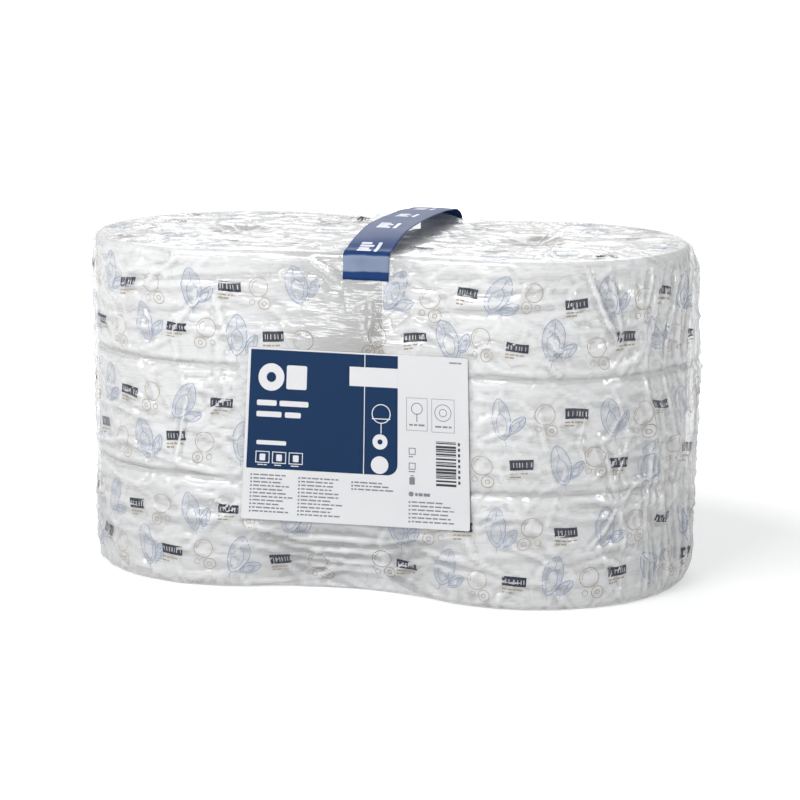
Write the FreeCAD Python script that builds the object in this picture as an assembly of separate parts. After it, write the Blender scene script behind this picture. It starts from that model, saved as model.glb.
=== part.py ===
import FreeCAD, Part
import math
import os

# Pack of six large toilet rolls, two stacks of three, in one clear printed film.
# A carry strap arches over the top and a paper label lies across the front.
# Millimetres, +Z up, standing on z = 0 with the origin under the middle of the pack.
# +X runs along the two stacks and the label faces -Y.

V = FreeCAD.Vector

# Paper rolls and their cores
roll_diameter = 260.0
roll_width = 95.5
rolls_per_stack = 3
roll_edge_radius = 5.0
stack_gap = 0.8
turn_grooves = 4
turn_groove_depth = 0.5
turn_groove_width = 2.4
core_bore = 60.0
core_wall = 1.2
core_inset = 0.5

# Film wrap. The real film is far thinner, and this wall is what a solid needs.
film_wall = 0.5
film_slack = 1.0
valley_angle_base = 22.0
valley_angle_top = 10.5
valley_margin = 3.0
hole_dish_depth = 2.0
hole_dish_margin = 3.0

# Gathered film at the two ends of the pack
gather_half_angle = 27.0
gather_turn = 8.0
gather_bulge = 6.5
gather_depth = 1.5
gather_folds = 9

# Carry strap
strap_width = 39.5
strap_thickness = 0.6
strap_front_x = 18.0
strap_back_x = 14.0
strap_rise = 15.0
strap_tail_drop = 21.0
strap_tail_seat = 6.5
strap_shoulder = 1.5
strap_clearance = 0.3
strap_mark_ink = 0.15

# Paper label. Places on it are measured from its top left corner.
label_width = 193.0
label_height = 144.5
label_thickness = 0.25
label_centre_x = 12.0
label_drop = 79.5
label_corner_radius = 2.0
ink_thickness = 0.1
panel_margin = 2.5
panel_width = 130.0
panel_height = 100.0
panel_corner_radius = 9.0

# Print on the film
print_thickness = 0.2
print_pitch = 90.0
print_rows_per_roll = 2
mark_width = 19.0
mark_height = 8.0
petal_length = 34.0
petal_line = 1.4
ring_diameter = 17.0
ring_line = 1.6
ring_sides = 12

# Sizes that follow from the ones above
roll_radius = roll_diameter / 2
stack_x = roll_radius + stack_gap / 2
core_outer_radius = core_bore / 2 + core_wall
film_radius = roll_radius + film_slack + film_wall
pack_height = rolls_per_stack * roll_width + 2 * film_wall
label_top = pack_height - label_drop
label_bottom = label_top - label_height
label_left = label_centre_x - label_width / 2
label_face_y = -film_radius - label_thickness
rim_height = 1.2 * roll_edge_radius
rim_inset = 0.8 * roll_edge_radius
seam_inset = 0.6 * roll_edge_radius
valley_foot = label_bottom - valley_margin
valley_head = label_top + valley_margin
sides = {"left": -1, "right": 1}
level_names = ("bottom", "middle", "top")


def roll_floor(level):
    """Height of the underside of a roll, counted from 0 at the bottom."""
    return film_wall + level * roll_width


def level_name(level):
    """Name of a level of the stack, with a number for levels past the usual three."""
    if level < len(level_names):
        return level_names[level]
    return "level_" + str(level + 1)


# Rolls

def roll_profile():
    """Half section of one roll in the XZ plane: round outer edges and shallow turn lines on both ends."""
    inner = core_outer_radius
    outer = roll_radius
    edge = roll_edge_radius
    pitch = (outer - edge - inner) / (turn_grooves + 1)
    half = turn_groove_width / 2
    low = [V(inner, 0, 0)]
    for groove in range(turn_grooves):
        middle = inner + (groove + 1) * pitch
        low.append(V(middle - half, 0, 0))
        low.append(V(middle, 0, turn_groove_depth))
        low.append(V(middle + half, 0, 0))
    low.append(V(outer - edge, 0, 0))
    high = [V(point.x, 0, roll_width - point.z) for point in reversed(low)]
    bevel = edge * math.sqrt(0.5)
    lower_round = Part.Arc(low[-1], V(outer - edge + bevel, 0, edge - bevel), V(outer, 0, edge))
    upper_round = Part.Arc(
        V(outer, 0, roll_width - edge),
        V(outer - edge + bevel, 0, roll_width - edge + bevel),
        high[0],
    )
    edges = [Part.makeLine(a, b) for a, b in zip(low, low[1:])]
    edges.append(lower_round.toShape())
    edges.append(Part.makeLine(V(outer, 0, edge), V(outer, 0, roll_width - edge)))
    edges.append(upper_round.toShape())
    edges += [Part.makeLine(a, b) for a, b in zip(high, high[1:])]
    edges.append(Part.makeLine(high[-1], low[0]))
    return Part.Face(Part.Wire(edges))


def paper_roll(side, level):
    """One roll of paper, standing on its end in its stack."""
    roll = roll_profile().revolve(V(0, 0, 0), V(0, 0, 1), 360)
    roll.translate(V(side * stack_x, 0, roll_floor(level)))
    return roll


def roll_core(side, level):
    """The cardboard tube that a roll is wound on."""
    length = roll_width - 2 * core_inset
    foot = V(side * stack_x, 0, roll_floor(level) + core_inset)
    tube = Part.makeCylinder(core_outer_radius, length, foot)
    return tube.cut(Part.makeCylinder(core_bore / 2, length, foot))


# Film wrap

def film_levels():
    """Heights of the film's sections, each with its inset from the full outline.

    The edges of the end rolls round the rims off, and the film sinks in where two rolls meet.
    """
    levels = {
        0.0: rim_inset,
        rim_height / 3: rim_inset / 4,
        rim_height: 0.0,
        valley_foot: 0.0,
        valley_head: 0.0,
        pack_height - rim_height: 0.0,
        pack_height - rim_height / 3: rim_inset / 4,
        pack_height: rim_inset,
    }
    for level in range(1, rolls_per_stack):
        seam = roll_floor(level)
        levels[seam - roll_edge_radius] = 0.0
        levels[seam] = seam_inset
        levels[seam + roll_edge_radius] = 0.0
    return sorted(levels.items())


def valley_share(height):
    """How much of its full dip the film has at a height: none behind the label, all at the rims."""
    if height <= valley_foot:
        return min(1.0, (valley_foot - height) / (valley_foot - rim_height))
    if height >= valley_head:
        return min(1.0, (height - valley_head) / (pack_height - rim_height - valley_head))
    return 0.0


def dipped_front(x, radius, angle):
    """Distance from the middle plane to film that follows both stacks and dips in between them.

    The film leaves each stack at the given angle and crosses the valley on one parabola.
    """
    slope = math.radians(angle)
    leave_x = stack_x - radius * math.sin(slope)
    if abs(x) >= leave_x:
        return math.sqrt(radius ** 2 - (stack_x - abs(x)) ** 2)
    rise = math.tan(slope) * leave_x / 2 * (1 - (x / leave_x) ** 2)
    return radius * math.cos(slope) - rise


def film_front(x, height, radius):
    """Distance from the middle plane to the film between the stacks, at a height."""
    angle = valley_angle_base if height < (valley_foot + valley_head) / 2 else valley_angle_top
    share = valley_share(height)
    return radius + share * (dipped_front(x, radius, angle) - radius)


def gather_fade(height):
    """The gathers run out at the top and bottom rims."""
    run_out = 3 * rim_height
    nearest_rim = min(height, pack_height - height)
    return min(1.0, max(0.0, nearest_rim / run_out))


def gathered_end(radius, height):
    """Points of the pleated film round the right end, from front to back."""
    count = 2 * gather_folds
    points = []
    for step in range(count + 1):
        share = 2 * step / count - 1
        angle = math.radians(gather_turn + share * gather_half_angle)
        fold = gather_depth if step % 2 else -gather_depth
        reach = (gather_bulge + fold) * (1 - share ** 2) * gather_fade(height)
        points.append(V(stack_x + (radius + reach) * math.cos(angle), (radius + reach) * math.sin(angle), height))
    return points


def valley_curve(radius, height, back):
    """The film between the stacks, from left to right, on the front or on the back."""
    stations = 16
    points = []
    for step in range(stations + 1):
        x = stack_x * (2 * step / stations - 1)
        y = film_front(x, height, radius)
        points.append(V(x, y if back else -y, height))
    curve = Part.BSplineCurve()
    curve.interpolate(points)
    return curve


def film_section(height, shape_height, inset):
    """Closed outline of the film at a height, with the shape it has at shape_height."""
    radius = film_radius - inset
    end = [V(point.x, point.y, height) for point in gathered_end(radius, shape_height)]
    front = V(stack_x, -radius, height)
    back = V(stack_x, radius, height)
    turn = (end[0] - V(stack_x, 0, height)).normalize()
    front_mid = V(stack_x, 0, height) + (turn + V(0, -1, 0)).normalize() * radius
    turn = (end[-1] - V(stack_x, 0, height)).normalize()
    back_mid = V(stack_x, 0, height) + (turn + V(0, 1, 0)).normalize() * radius
    edges = [Part.Arc(front, front_mid, end[0]).toShape()]
    edges += [Part.makeLine(a, b) for a, b in zip(end, end[1:])]
    edges.append(Part.Arc(end[-1], back_mid, back).toShape())
    other_end = [edge.mirror(V(0, 0, 0), V(1, 0, 0)) for edge in edges]
    front_curve = valley_curve(radius, shape_height, back=False).toShape()
    back_curve = valley_curve(radius, shape_height, back=True).toShape()
    for curve in (front_curve, back_curve):
        curve.translate(V(0, 0, height - shape_height))
    return Part.Wire(Part.__sortEdges__(edges + [back_curve] + other_end + [front_curve]))


def film_body(wall):
    """Solid inside the film's outer face, or inside its inner face when wall is its thickness."""
    sections = []
    for shape_height, inset in film_levels():
        height = min(max(shape_height, wall), pack_height - wall)
        sections.append(film_section(height, shape_height, inset + wall))
    body = Part.makeLoft(sections, True, True)
    dish_radius = core_bore / 2 - hole_dish_margin
    ball_radius = (dish_radius ** 2 + hole_dish_depth ** 2) / (2 * hole_dish_depth)
    for side in sides.values():
        centre = V(side * stack_x, 0, pack_height - hole_dish_depth + ball_radius)
        body = body.cut(Part.makeSphere(ball_radius + wall, centre))
    return body


def film_wrap():
    """The closed film: rims, sunken seams, valleys, gathered ends and a dish over each top hole."""
    return film_body(0.0).cut(film_body(film_wall))


# Carry strap

def strap_route():
    """Side view of the strap's underside, front to back, as distances along Y and Z.

    Each tail lies on the film where it dips between the stacks, and the middle bows up clear of it.
    """
    tail_heights = (pack_height - strap_tail_drop, pack_height - strap_tail_seat)
    front_edge = abs(strap_front_x) + strap_width / 2
    back_edge = abs(strap_back_x) + strap_width / 2
    front = [(-film_front(front_edge, z, film_radius) - strap_clearance, z) for z in tail_heights]
    back = [(film_front(back_edge, z, film_radius) + strap_clearance, z) for z in tail_heights]
    bow = ((-0.83, 0.2), (-0.74, 0.43), (-0.63, 0.65), (-0.43, 0.9), (-0.12, 1.0), (0.25, 0.98), (0.6, 0.84), (0.81, 0.6))
    arch = [(reach * film_radius, pack_height + rise * strap_rise) for reach, rise in bow]
    front_shoulder = (front[1][0] + strap_shoulder, pack_height)
    back_shoulder = (back[1][0] - strap_shoulder, pack_height)
    return front + [front_shoulder] + arch + [back_shoulder, back[1], back[0]]


def strap_line(lift, left):
    """One long line of the strap, at a distance above its underside, as curves that join smoothly."""
    slant = (strap_back_x - strap_front_x) / (2 * film_radius)
    route = strap_route()
    steps = [V(0, b[0] - a[0], b[1] - a[1]).normalize() for a, b in zip(route, route[1:])]
    bends = [(before + after).normalize() for before, after in zip(steps, steps[1:])]
    runs = [steps[0], steps[0]] + bends[1:-1] + [steps[-1], steps[-1]]
    points = []
    for (y, z), run in zip(route, runs):
        out_y = y - run.z * lift
        x = strap_front_x + left + slant * (out_y + film_radius)
        points.append(V(x, out_y, z + run.y * lift))
    slanted = [V(slant * run.y, run.y, run.z) for run in runs]
    edges = []
    for index in range(len(points) - 1):
        start, end = points[index], points[index + 1]
        third = start.distanceToPoint(end) / 3
        curve = Part.BezierCurve()
        curve.setPoles([start, start + slanted[index] * third, end - slanted[index + 1] * third, end])
        edges.append(curve.toShape())
    return edges, points[0], points[-1]


def strap_layer(low, high, left, right):
    """A layer of the strap, between two distances above its underside and between two of its edges."""
    under, under_start, under_end = strap_line(low, left)
    over, over_start, over_end = strap_line(high, left)
    ends = [Part.makeLine(under_start, over_start), Part.makeLine(under_end, over_end)]
    face = Part.Face(Part.Wire(Part.__sortEdges__(under + over + ends)))
    return face.extrude(V(right - left, 0, 0))


def carry_strap():
    """The flat strap, its ends stuck to the film on the front and on the back."""
    return strap_layer(0.0, strap_thickness, -strap_width / 2, strap_width / 2)


def strap_marks():
    """Plain white marks in pairs along the strap."""
    top = strap_thickness
    marks = []
    for left, right, spans in (
        (-12.0, 3.0, ((-0.74, -0.62), (-0.26, -0.14), (0.22, 0.34), (0.70, 0.80))),
        (7.0, 10.0, ((-0.78, -0.58), (-0.30, -0.10), (0.18, 0.38), (0.66, 0.84))),
    ):
        layer = strap_layer(top, top + strap_mark_ink, left, right)
        for start, end in spans:
            corner = V(-stack_x, start * film_radius, pack_height)
            slab = Part.makeBox(2 * stack_x, (end - start) * film_radius, 2 * strap_rise, corner)
            marks.append(layer.common(slab))
    return marks


# Paper label

def label_patch(left, down, width, height, lift=0, thickness=ink_thickness, corner=0.0):
    """A flat patch on the front of the label, with round corners if asked for."""
    corner_point = V(label_left + left, label_face_y - lift - thickness, label_top - down - height)
    patch = Part.makeBox(width, thickness, height, corner_point)
    if corner > 0:
        upright = [edge for edge in patch.Edges if abs(edge.tangentAt(edge.FirstParameter).y) > 0.9]
        patch = patch.makeFillet(corner, upright)
    return patch


def label_disc(left, down, radius, lift=0, hole=0.0):
    """A flat disc on the label, or a ring if it has a hole."""
    centre = V(label_left + left, label_face_y - lift, label_top - down)
    disc = Part.makeCylinder(radius, ink_thickness, centre, V(0, -1, 0))
    if hole > 0:
        disc = disc.cut(Part.makeCylinder(hole, ink_thickness, centre, V(0, -1, 0)))
    return disc


def label_frame(left, down, width, height, line, lift=0):
    """An outlined box on the label."""
    outside = label_patch(left, down, width, height, lift)
    inside = label_patch(left + line, down + line, width - 2 * line, height - 2 * line, lift)
    return outside.cut(inside)


def label_sheet():
    """The paper of the label, flat on the film across the front valley."""
    return label_patch(
        0, 0, label_width, label_height, -label_thickness, label_thickness, label_corner_radius
    )


def label_colour_field():
    """The dark field, with one large round corner at its lower right."""
    field = label_patch(panel_margin, panel_margin / 2, panel_width, panel_height)
    right = label_left + panel_margin + panel_width
    foot = label_top - panel_margin / 2 - panel_height

    def is_round_corner(edge):
        middle = edge.CenterOfMass
        across = abs(edge.tangentAt(edge.FirstParameter).y) > 0.9
        return across and abs(middle.x - right) < 0.01 and abs(middle.z - foot) < 0.01

    return field.makeFillet(panel_corner_radius, [edge for edge in field.Edges if is_round_corner(edge)])


def label_white_marks():
    """Plain white shapes on the dark field: a roll sign, bars in place of words, boxes and a disc."""
    lift = ink_thickness
    right = panel_margin + panel_width
    marks = [
        label_patch(103.5, panel_margin / 2, 0.8, panel_height, lift),
        label_patch(90.5, 11.8, right - 90.5, 16.0, 2 * lift),
        label_patch(32.0, 13.0, 20.0, 22.0, lift),
        label_disc(22.0, 24.0, 11.0, 2 * lift, hole=4.0),
        label_patch(9.5, 42.5, 45.5, 5.5, lift, corner=1.0),
        label_patch(9.5, 52.0, 39.0, 5.5, lift, corner=1.0),
        label_patch(10.5, 77.0, 26.0, 3.4, lift, corner=0.8),
        label_disc(118.3, 50.0, 8.2, lift, hole=7.0),
        label_disc(117.0, 73.5, 6.4, lift, hole=2.2),
        label_disc(117.4, 93.0, 7.4, lift),
    ]
    for place in range(3):
        marks.append(label_frame(10.2 + 14.5 * place, 86.5, 12.2, 10.0, 1.1, lift))
    return marks


def label_grey_marks():
    """Grey bars in place of small print, and outlined boxes, on the white paper."""
    marks = []
    line = 1.1
    for left, down, width, count, pitch in (
        (6.5, 106.5, 37.0, 10, 3.4),
        (48.0, 107.5, 40.0, 10, 3.4),
        (93.5, 108.5, 36.0, 3, 3.2),
        (142.0, 122.5, 40.0, 6, 3.4),
    ):
        for row in range(count):
            shortened = width * (0.72 if row % 3 == 2 else 1.0)
            marks.append(label_patch(left, down + row * pitch, shortened, line))
    marks.append(label_patch(177.0, 4.0, 12.0, 1.3))
    marks.append(label_patch(142.0, 114.5, 19.0, 3.4, corner=0.8))
    marks.append(label_frame(140.0, 35.0, 18.0, 27.5, 0.5))
    marks.append(label_frame(161.5, 35.0, 19.5, 28.0, 0.5))
    for down in (77.0, 89.5, 101.0):
        marks.append(label_frame(142.0, down, 5.8, 5.8, 0.8))
    return marks


def label_code_bars():
    """Horizontal bars of a code that holds no number."""
    widths = (0.6, 1.2, 0.6, 1.8, 0.9, 0.6, 1.5, 0.6, 0.9, 1.8, 0.6, 1.2, 0.9, 0.6, 1.8, 0.6, 1.2, 0.9)
    gap = 1.15
    bars = []
    down = 70.5
    for width in widths:
        bars.append(label_patch(165.5, down, 17.5, width))
        down += width + gap
    return bars


# Print on the film

def wall_shell():
    """Thin sleeve round one stack, as thick as the print."""
    outside = Part.makeCylinder(film_radius + print_thickness, pack_height)
    return outside.cut(Part.makeCylinder(film_radius, pack_height))


def print_rows():
    """Heights of the rows of print, clear of the sunken seams and the rims."""
    rows = []
    for level in range(rolls_per_stack):
        for row in range(print_rows_per_roll):
            share = (row + 0.75) / (print_rows_per_roll + 0.5)
            rows.append(roll_floor(level) + roll_width * share)
    return rows


def wall_places(shift):
    """Angles and heights of the print round one stack, clear of the label, the valley and the gathers."""
    clear = math.degrees(petal_length / 2 / film_radius)
    first = -90 + clear
    gather_start = gather_turn - gather_half_angle - clear
    gather_end = gather_turn + gather_half_angle + clear
    step = math.degrees(print_pitch / film_radius)
    places = []
    for row, height in enumerate(print_rows()):
        angle = first + shift * step + (0.5 * step if row % 2 else 0.0)
        while angle <= 90 - clear:
            if angle < gather_start or angle > gather_end:
                places.append((angle, height))
            angle += step
    return places


def printed_on_walls(outline, shift):
    """An outline, drawn facing +X, printed round both stacks."""
    sleeve = wall_shell()
    patches = []
    for angle, height in wall_places(shift):
        stamp = outline.copy()
        stamp.rotate(V(0, 0, 0), V(0, 0, 1), angle)
        stamp.translate(V(0, 0, height))
        patch = sleeve.common(stamp)
        patch.translate(V(stack_x, 0, 0))
        patches.append(patch)
        patches.append(patch.mirror(V(0, 0, 0), V(1, 0, 0)))
    return patches


def printed_on_top(outline, places):
    """An outline, drawn facing +X, printed flat on the top of both stacks."""
    layer = Part.makeBox(4 * stack_x, 4 * stack_x, print_thickness, V(-2 * stack_x, -2 * stack_x, pack_height))
    patches = []
    for angle, reach in places:
        stamp = outline.copy()
        stamp.rotate(V(0, 0, 0), V(0, 1, 0), -90)
        stamp.rotate(V(0, 0, 0), V(0, 0, 1), angle)
        along = math.radians(angle)
        middle = V(stack_x + reach * math.cos(along), reach * math.sin(along), pack_height - stack_x)
        stamp.translate(middle)
        patch = layer.common(stamp)
        patches.append(patch)
        patches.append(patch.mirror(V(0, 0, 0), V(1, 0, 0)))
    return patches


def mark_outline():
    """A plain bar."""
    return Part.makeBox(2 * stack_x, mark_width, mark_height, V(0, -mark_width / 2, -mark_height / 2))


def prism(points):
    """An upright prism along +X from an outline of (across, up) points."""
    corners = [V(0, across, up) for across, up in points]
    outline = Part.makePolygon(corners + [corners[0]])
    return Part.Face(outline).extrude(V(2 * stack_x, 0, 0))


def petal(length):
    """A pointed petal, half as wide as it is long."""
    shape = ((0.0, 0.5), (0.17, 0.28), (0.25, 0.02), (0.18, -0.25), (0.0, -0.5))
    right = [(across * length, up * length) for across, up in shape]
    left = [(-across, up) for across, up in right[1:-1]]
    return prism(right + left[::-1])


def petal_outline():
    """The line round a petal."""
    return petal(petal_length).cut(petal(petal_length - 3.5 * petal_line))


def disc(diameter):
    """A round plate with a few straight sides."""
    turn = 2 * math.pi / ring_sides
    radius = diameter / 2
    return prism([(radius * math.cos(i * turn), radius * math.sin(i * turn)) for i in range(ring_sides)])


def ring_outline():
    """A plain ring."""
    return disc(ring_diameter).cut(disc(ring_diameter - 2 * ring_line))


def film_print(outline, shift, top_turn):
    """One colour of the film's print, on the walls and in a circle on the top of each stack."""
    reach = (core_outer_radius + roll_radius) / 2 + petal_length / 4
    top_places = [(top_turn + 120 * place, reach) for place in range(3)]
    return printed_on_walls(outline, shift) + printed_on_top(outline, top_places)


def save(name, shapes):
    """Write one node."""
    shape = shapes if isinstance(shapes, Part.Shape) else Part.Compound(list(shapes))
    shape.exportStep("parts/" + name + ".step")


def main():
    os.makedirs("parts", exist_ok=True)
    for side_name, side in sides.items():
        for level in range(rolls_per_stack):
            place = side_name + "_" + level_name(level)
            save("roll_" + place, paper_roll(side, level))
            save("core_" + place, roll_core(side, level))
    save("film_wrap", film_wrap())
    save("carry_strap", carry_strap())
    save("strap_marks", strap_marks())
    save("label", label_sheet())
    save("label_colour_field", label_colour_field())
    save("label_white_marks", label_white_marks())
    save("label_grey_marks", label_grey_marks())
    save("label_code_bars", label_code_bars())
    save("film_print_bars", film_print(mark_outline(), 0.0, 20))
    save("film_print_petals", film_print(petal_outline(), 0.35, 60))
    save("film_print_rings", film_print(ring_outline(), 0.7, 100))


main()
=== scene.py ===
"""Looks for a film-wrapped pack of six large toilet rolls with a carry strap and a paper label.

Each piece is made by an operator, from sizes that the frame gives and from the settings below.
Lengths inside the makers are millimetres in the pack's own frame, and turn into metres at the end.
"""

import math
import random

import bmesh
import bpy
import numpy as np
from mathutils import Matrix, Vector, noise
from mathutils.bvhtree import BVHTree


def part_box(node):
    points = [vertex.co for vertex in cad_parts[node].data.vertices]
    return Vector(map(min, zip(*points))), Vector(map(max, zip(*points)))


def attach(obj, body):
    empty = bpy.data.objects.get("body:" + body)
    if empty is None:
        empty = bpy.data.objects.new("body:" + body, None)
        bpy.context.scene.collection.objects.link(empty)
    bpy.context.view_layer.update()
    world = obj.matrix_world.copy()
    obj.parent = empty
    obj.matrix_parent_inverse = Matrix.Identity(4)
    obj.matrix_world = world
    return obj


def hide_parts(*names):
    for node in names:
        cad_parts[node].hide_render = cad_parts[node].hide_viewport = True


bl_info = {
    "name": "Wrapped Roll Pack",
    "version": (1, 0, 0),
    "blender": (4, 5, 0),
    "location": "View3D > Sidebar > Roll Pack",
    "description": "Builds the film, strap, label and finishes of a wrapped pack of toilet rolls",
    "category": "Object",
}

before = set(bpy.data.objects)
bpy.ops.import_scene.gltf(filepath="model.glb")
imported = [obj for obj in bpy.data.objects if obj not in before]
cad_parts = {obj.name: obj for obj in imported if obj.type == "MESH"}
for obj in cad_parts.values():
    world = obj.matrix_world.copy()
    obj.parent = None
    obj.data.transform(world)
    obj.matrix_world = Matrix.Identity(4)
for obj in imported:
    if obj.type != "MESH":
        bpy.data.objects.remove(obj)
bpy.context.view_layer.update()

MM = 0.001

# Sizes read from the frame, in millimetres


def node_box(name):
    """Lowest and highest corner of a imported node."""
    low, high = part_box(name)
    return Vector(low) / MM, Vector(high) / MM


roll_low, roll_high = node_box("roll_right_bottom")
film_high = node_box("film_wrap")[1]
label_low, label_high = node_box("label")
strap_low, strap_high = node_box("carry_strap")

ROLL_RADIUS = (roll_high.y - roll_low.y) / 2
ROLL_WIDTH = roll_high.z - roll_low.z
STACK_X = (roll_low.x + roll_high.x) / 2
PACK_HEIGHT = film_high.z
FILM_FLOOR = roll_low.z
FILM_RADIUS = film_high.y
ROLL_LEVELS = round((PACK_HEIGHT - 2 * FILM_FLOOR) / ROLL_WIDTH)
SEAMS = [FILM_FLOOR + level * ROLL_WIDTH for level in range(1, ROLL_LEVELS)]
LABEL_TOP = label_high.z
LABEL_FOOT = label_low.z
LABEL_WIDTH = label_high.x - label_low.x
LABEL_HEIGHT = LABEL_TOP - LABEL_FOOT
HALF_WRAP = 2 * STACK_X + math.pi * FILM_RADIUS

# The strap, as in the construction
STRAP_WIDTH = 39.5
STRAP_FRONT_X = 18.0
STRAP_BACK_X = 14.0
STRAP_SEAT = 6.5
STRAP_CAMBER = 0.8
STRAP_RIPPLE = 0.6
STRAP_MARK_PITCH = 58.0
STRAP_MARK_COUNT = 5

# Squares that flat pieces are cut into, so that they bend
STRAP_SQUARE = 3.0
STRAP_MARK_SQUARE = 4.0
LABEL_SQUARE = 6.0

# How the film lies, as in the construction
RIM_HEIGHT = 6.0
RIM_INSET = 4.0
SEAM_REACH = 5.0
SEAM_DEPTH = 2.5
VALLEY_ANGLE_BASE = 22.0
VALLEY_ANGLE_TOP = 10.5
VALLEY_MARGIN = 3.0
GATHER_HALF_ANGLE = 29.0
GATHER_TURN = 8.0
GATHER_BULGE = 5.0
CORE_BORE_RADIUS = 30.0

# The film's print
PRINT_PITCH = 90.0
PRINT_ROWS_PER_ROLL = 2
PRINT_LIFT = 0.12
MIDDLE_GAP = 14.0
CLEAR_OF_STRAP = 44.0
BAR_WIDTH = 19.0
BAR_HEIGHT = 8.0
PETAL_LENGTH = 34.0
RING_RADIUS = 8.5

# The dark field on the label, from the label's top left corner
PANEL_LEFT = 2.5
PANEL_DOWN = 1.3
PANEL_WIDTH = 130.0
PANEL_HEIGHT = 100.0


# Settings


def colour_setting(name, description, default):
    return bpy.props.FloatVectorProperty(
        name=name, description=description, default=default,
        subtype="COLOR", size=3, min=0.0, max=1.0,
    )


def length_setting(name, description, default, low, high):
    return bpy.props.FloatProperty(
        name=name, description=description, default=default,
        subtype="DISTANCE", unit="LENGTH", min=low, max=high,
    )


def angle_setting(name, description, degrees):
    return bpy.props.FloatProperty(
        name=name, description=description, default=math.radians(degrees),
        subtype="ANGLE", unit="ROTATION",
    )


class PaperSettings(bpy.types.PropertyGroup):
    """Finishes of the rolls inside the film."""

    tissue: colour_setting("Tissue", "Colour of the paper", (0.86, 0.855, 0.845))
    core: colour_setting("Core", "Colour of the cardboard cores", (0.42, 0.34, 0.25))


class FilmSettings(bpy.types.PropertyGroup):
    """Shape and finish of the clear film."""

    crease_height: length_setting(
        "Crease height", "How far the creases stand proud of the rolls", 0.0018, 0.0, 0.004
    )
    pleat_height: length_setting(
        "Pleat height", "How far the gathered pleats stand proud at both ends", 0.0034, 0.0, 0.006
    )
    cover: bpy.props.FloatProperty(
        name="Cover", description="How much of what lies behind the clear film it hides",
        default=0.50, min=0.0, max=1.0, subtype="FACTOR",
    )
    tint: colour_setting("Tint", "Colour of the film itself", (0.90, 0.905, 0.915))


class InkSettings(bpy.types.PropertyGroup):
    """Colours of the print on the film."""

    bars: colour_setting("Bars", "Colour of the printed bars", (0.010, 0.014, 0.035))
    petals: colour_setting("Petals", "Colour of the printed petals", (0.20, 0.30, 0.50))
    rings: colour_setting("Rings", "Colour of the printed rings", (0.33, 0.25, 0.15))


class StrapSettings(bpy.types.PropertyGroup):
    """Shape and finish of the carry strap."""

    thickness: length_setting("Thickness", "Thickness of the strap's tape", 0.0004, 0.0001, 0.001)
    colour: colour_setting("Colour", "Colour of the strap's tape", (0.008, 0.035, 0.130))


class LabelSettings(bpy.types.PropertyGroup):
    """Shape and finish of the paper label."""

    thickness: length_setting("Thickness", "Thickness of the label's paper", 0.0002, 0.00005, 0.001)
    paper: colour_setting("Paper", "Colour of the label's paper", (0.76, 0.76, 0.775))
    field: colour_setting("Field", "Colour of the label's dark field", (0.012, 0.037, 0.098))


class StageSettings(bpy.types.PropertyGroup):
    """Floor, light and camera."""

    azimuth: angle_setting("Azimuth", "Turn of the camera round the pack", 16.57)
    elevation: angle_setting("Elevation", "Height of the camera above the horizon", 11.41)
    distance: length_setting("Distance", "From the camera to the point it looks at", 2.24977, 0.5, 20.0)
    lens: bpy.props.FloatProperty(
        name="Lens", description="Focal length of the camera in millimetres on a 36 mm sensor",
        default=116.43, min=20.0, max=300.0,
    )


# Materials

WHITE = (1.0, 1.0, 1.0)
MIRROR_ROUGHNESS = 0.11


def one_node(operation, reflected=False):
    """A method of Wire that stands for one operator and adds one Math node."""

    def method(self, other):
        values = (other, self) if reflected else (self, other)
        return self.finish.maths(operation, *values)

    return method


class Wire:
    """A socket of a finish, with maths on it written as plain expressions."""

    __add__ = one_node("ADD")
    __radd__ = one_node("ADD", reflected=True)
    __sub__ = one_node("SUBTRACT")
    __rsub__ = one_node("SUBTRACT", reflected=True)
    __mul__ = one_node("MULTIPLY")
    __rmul__ = one_node("MULTIPLY", reflected=True)
    __truediv__ = one_node("DIVIDE")
    __pow__ = one_node("POWER")

    def __init__(self, finish, socket):
        self.finish = finish
        self.socket = socket

    def __abs__(self):
        return self.finish.maths("ABSOLUTE", self)

    def sine(self):
        return self.finish.maths("SINE", self)

    def clamped(self):
        return self.finish.maths("ADD", self, 0.0, clamp=True)


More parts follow.
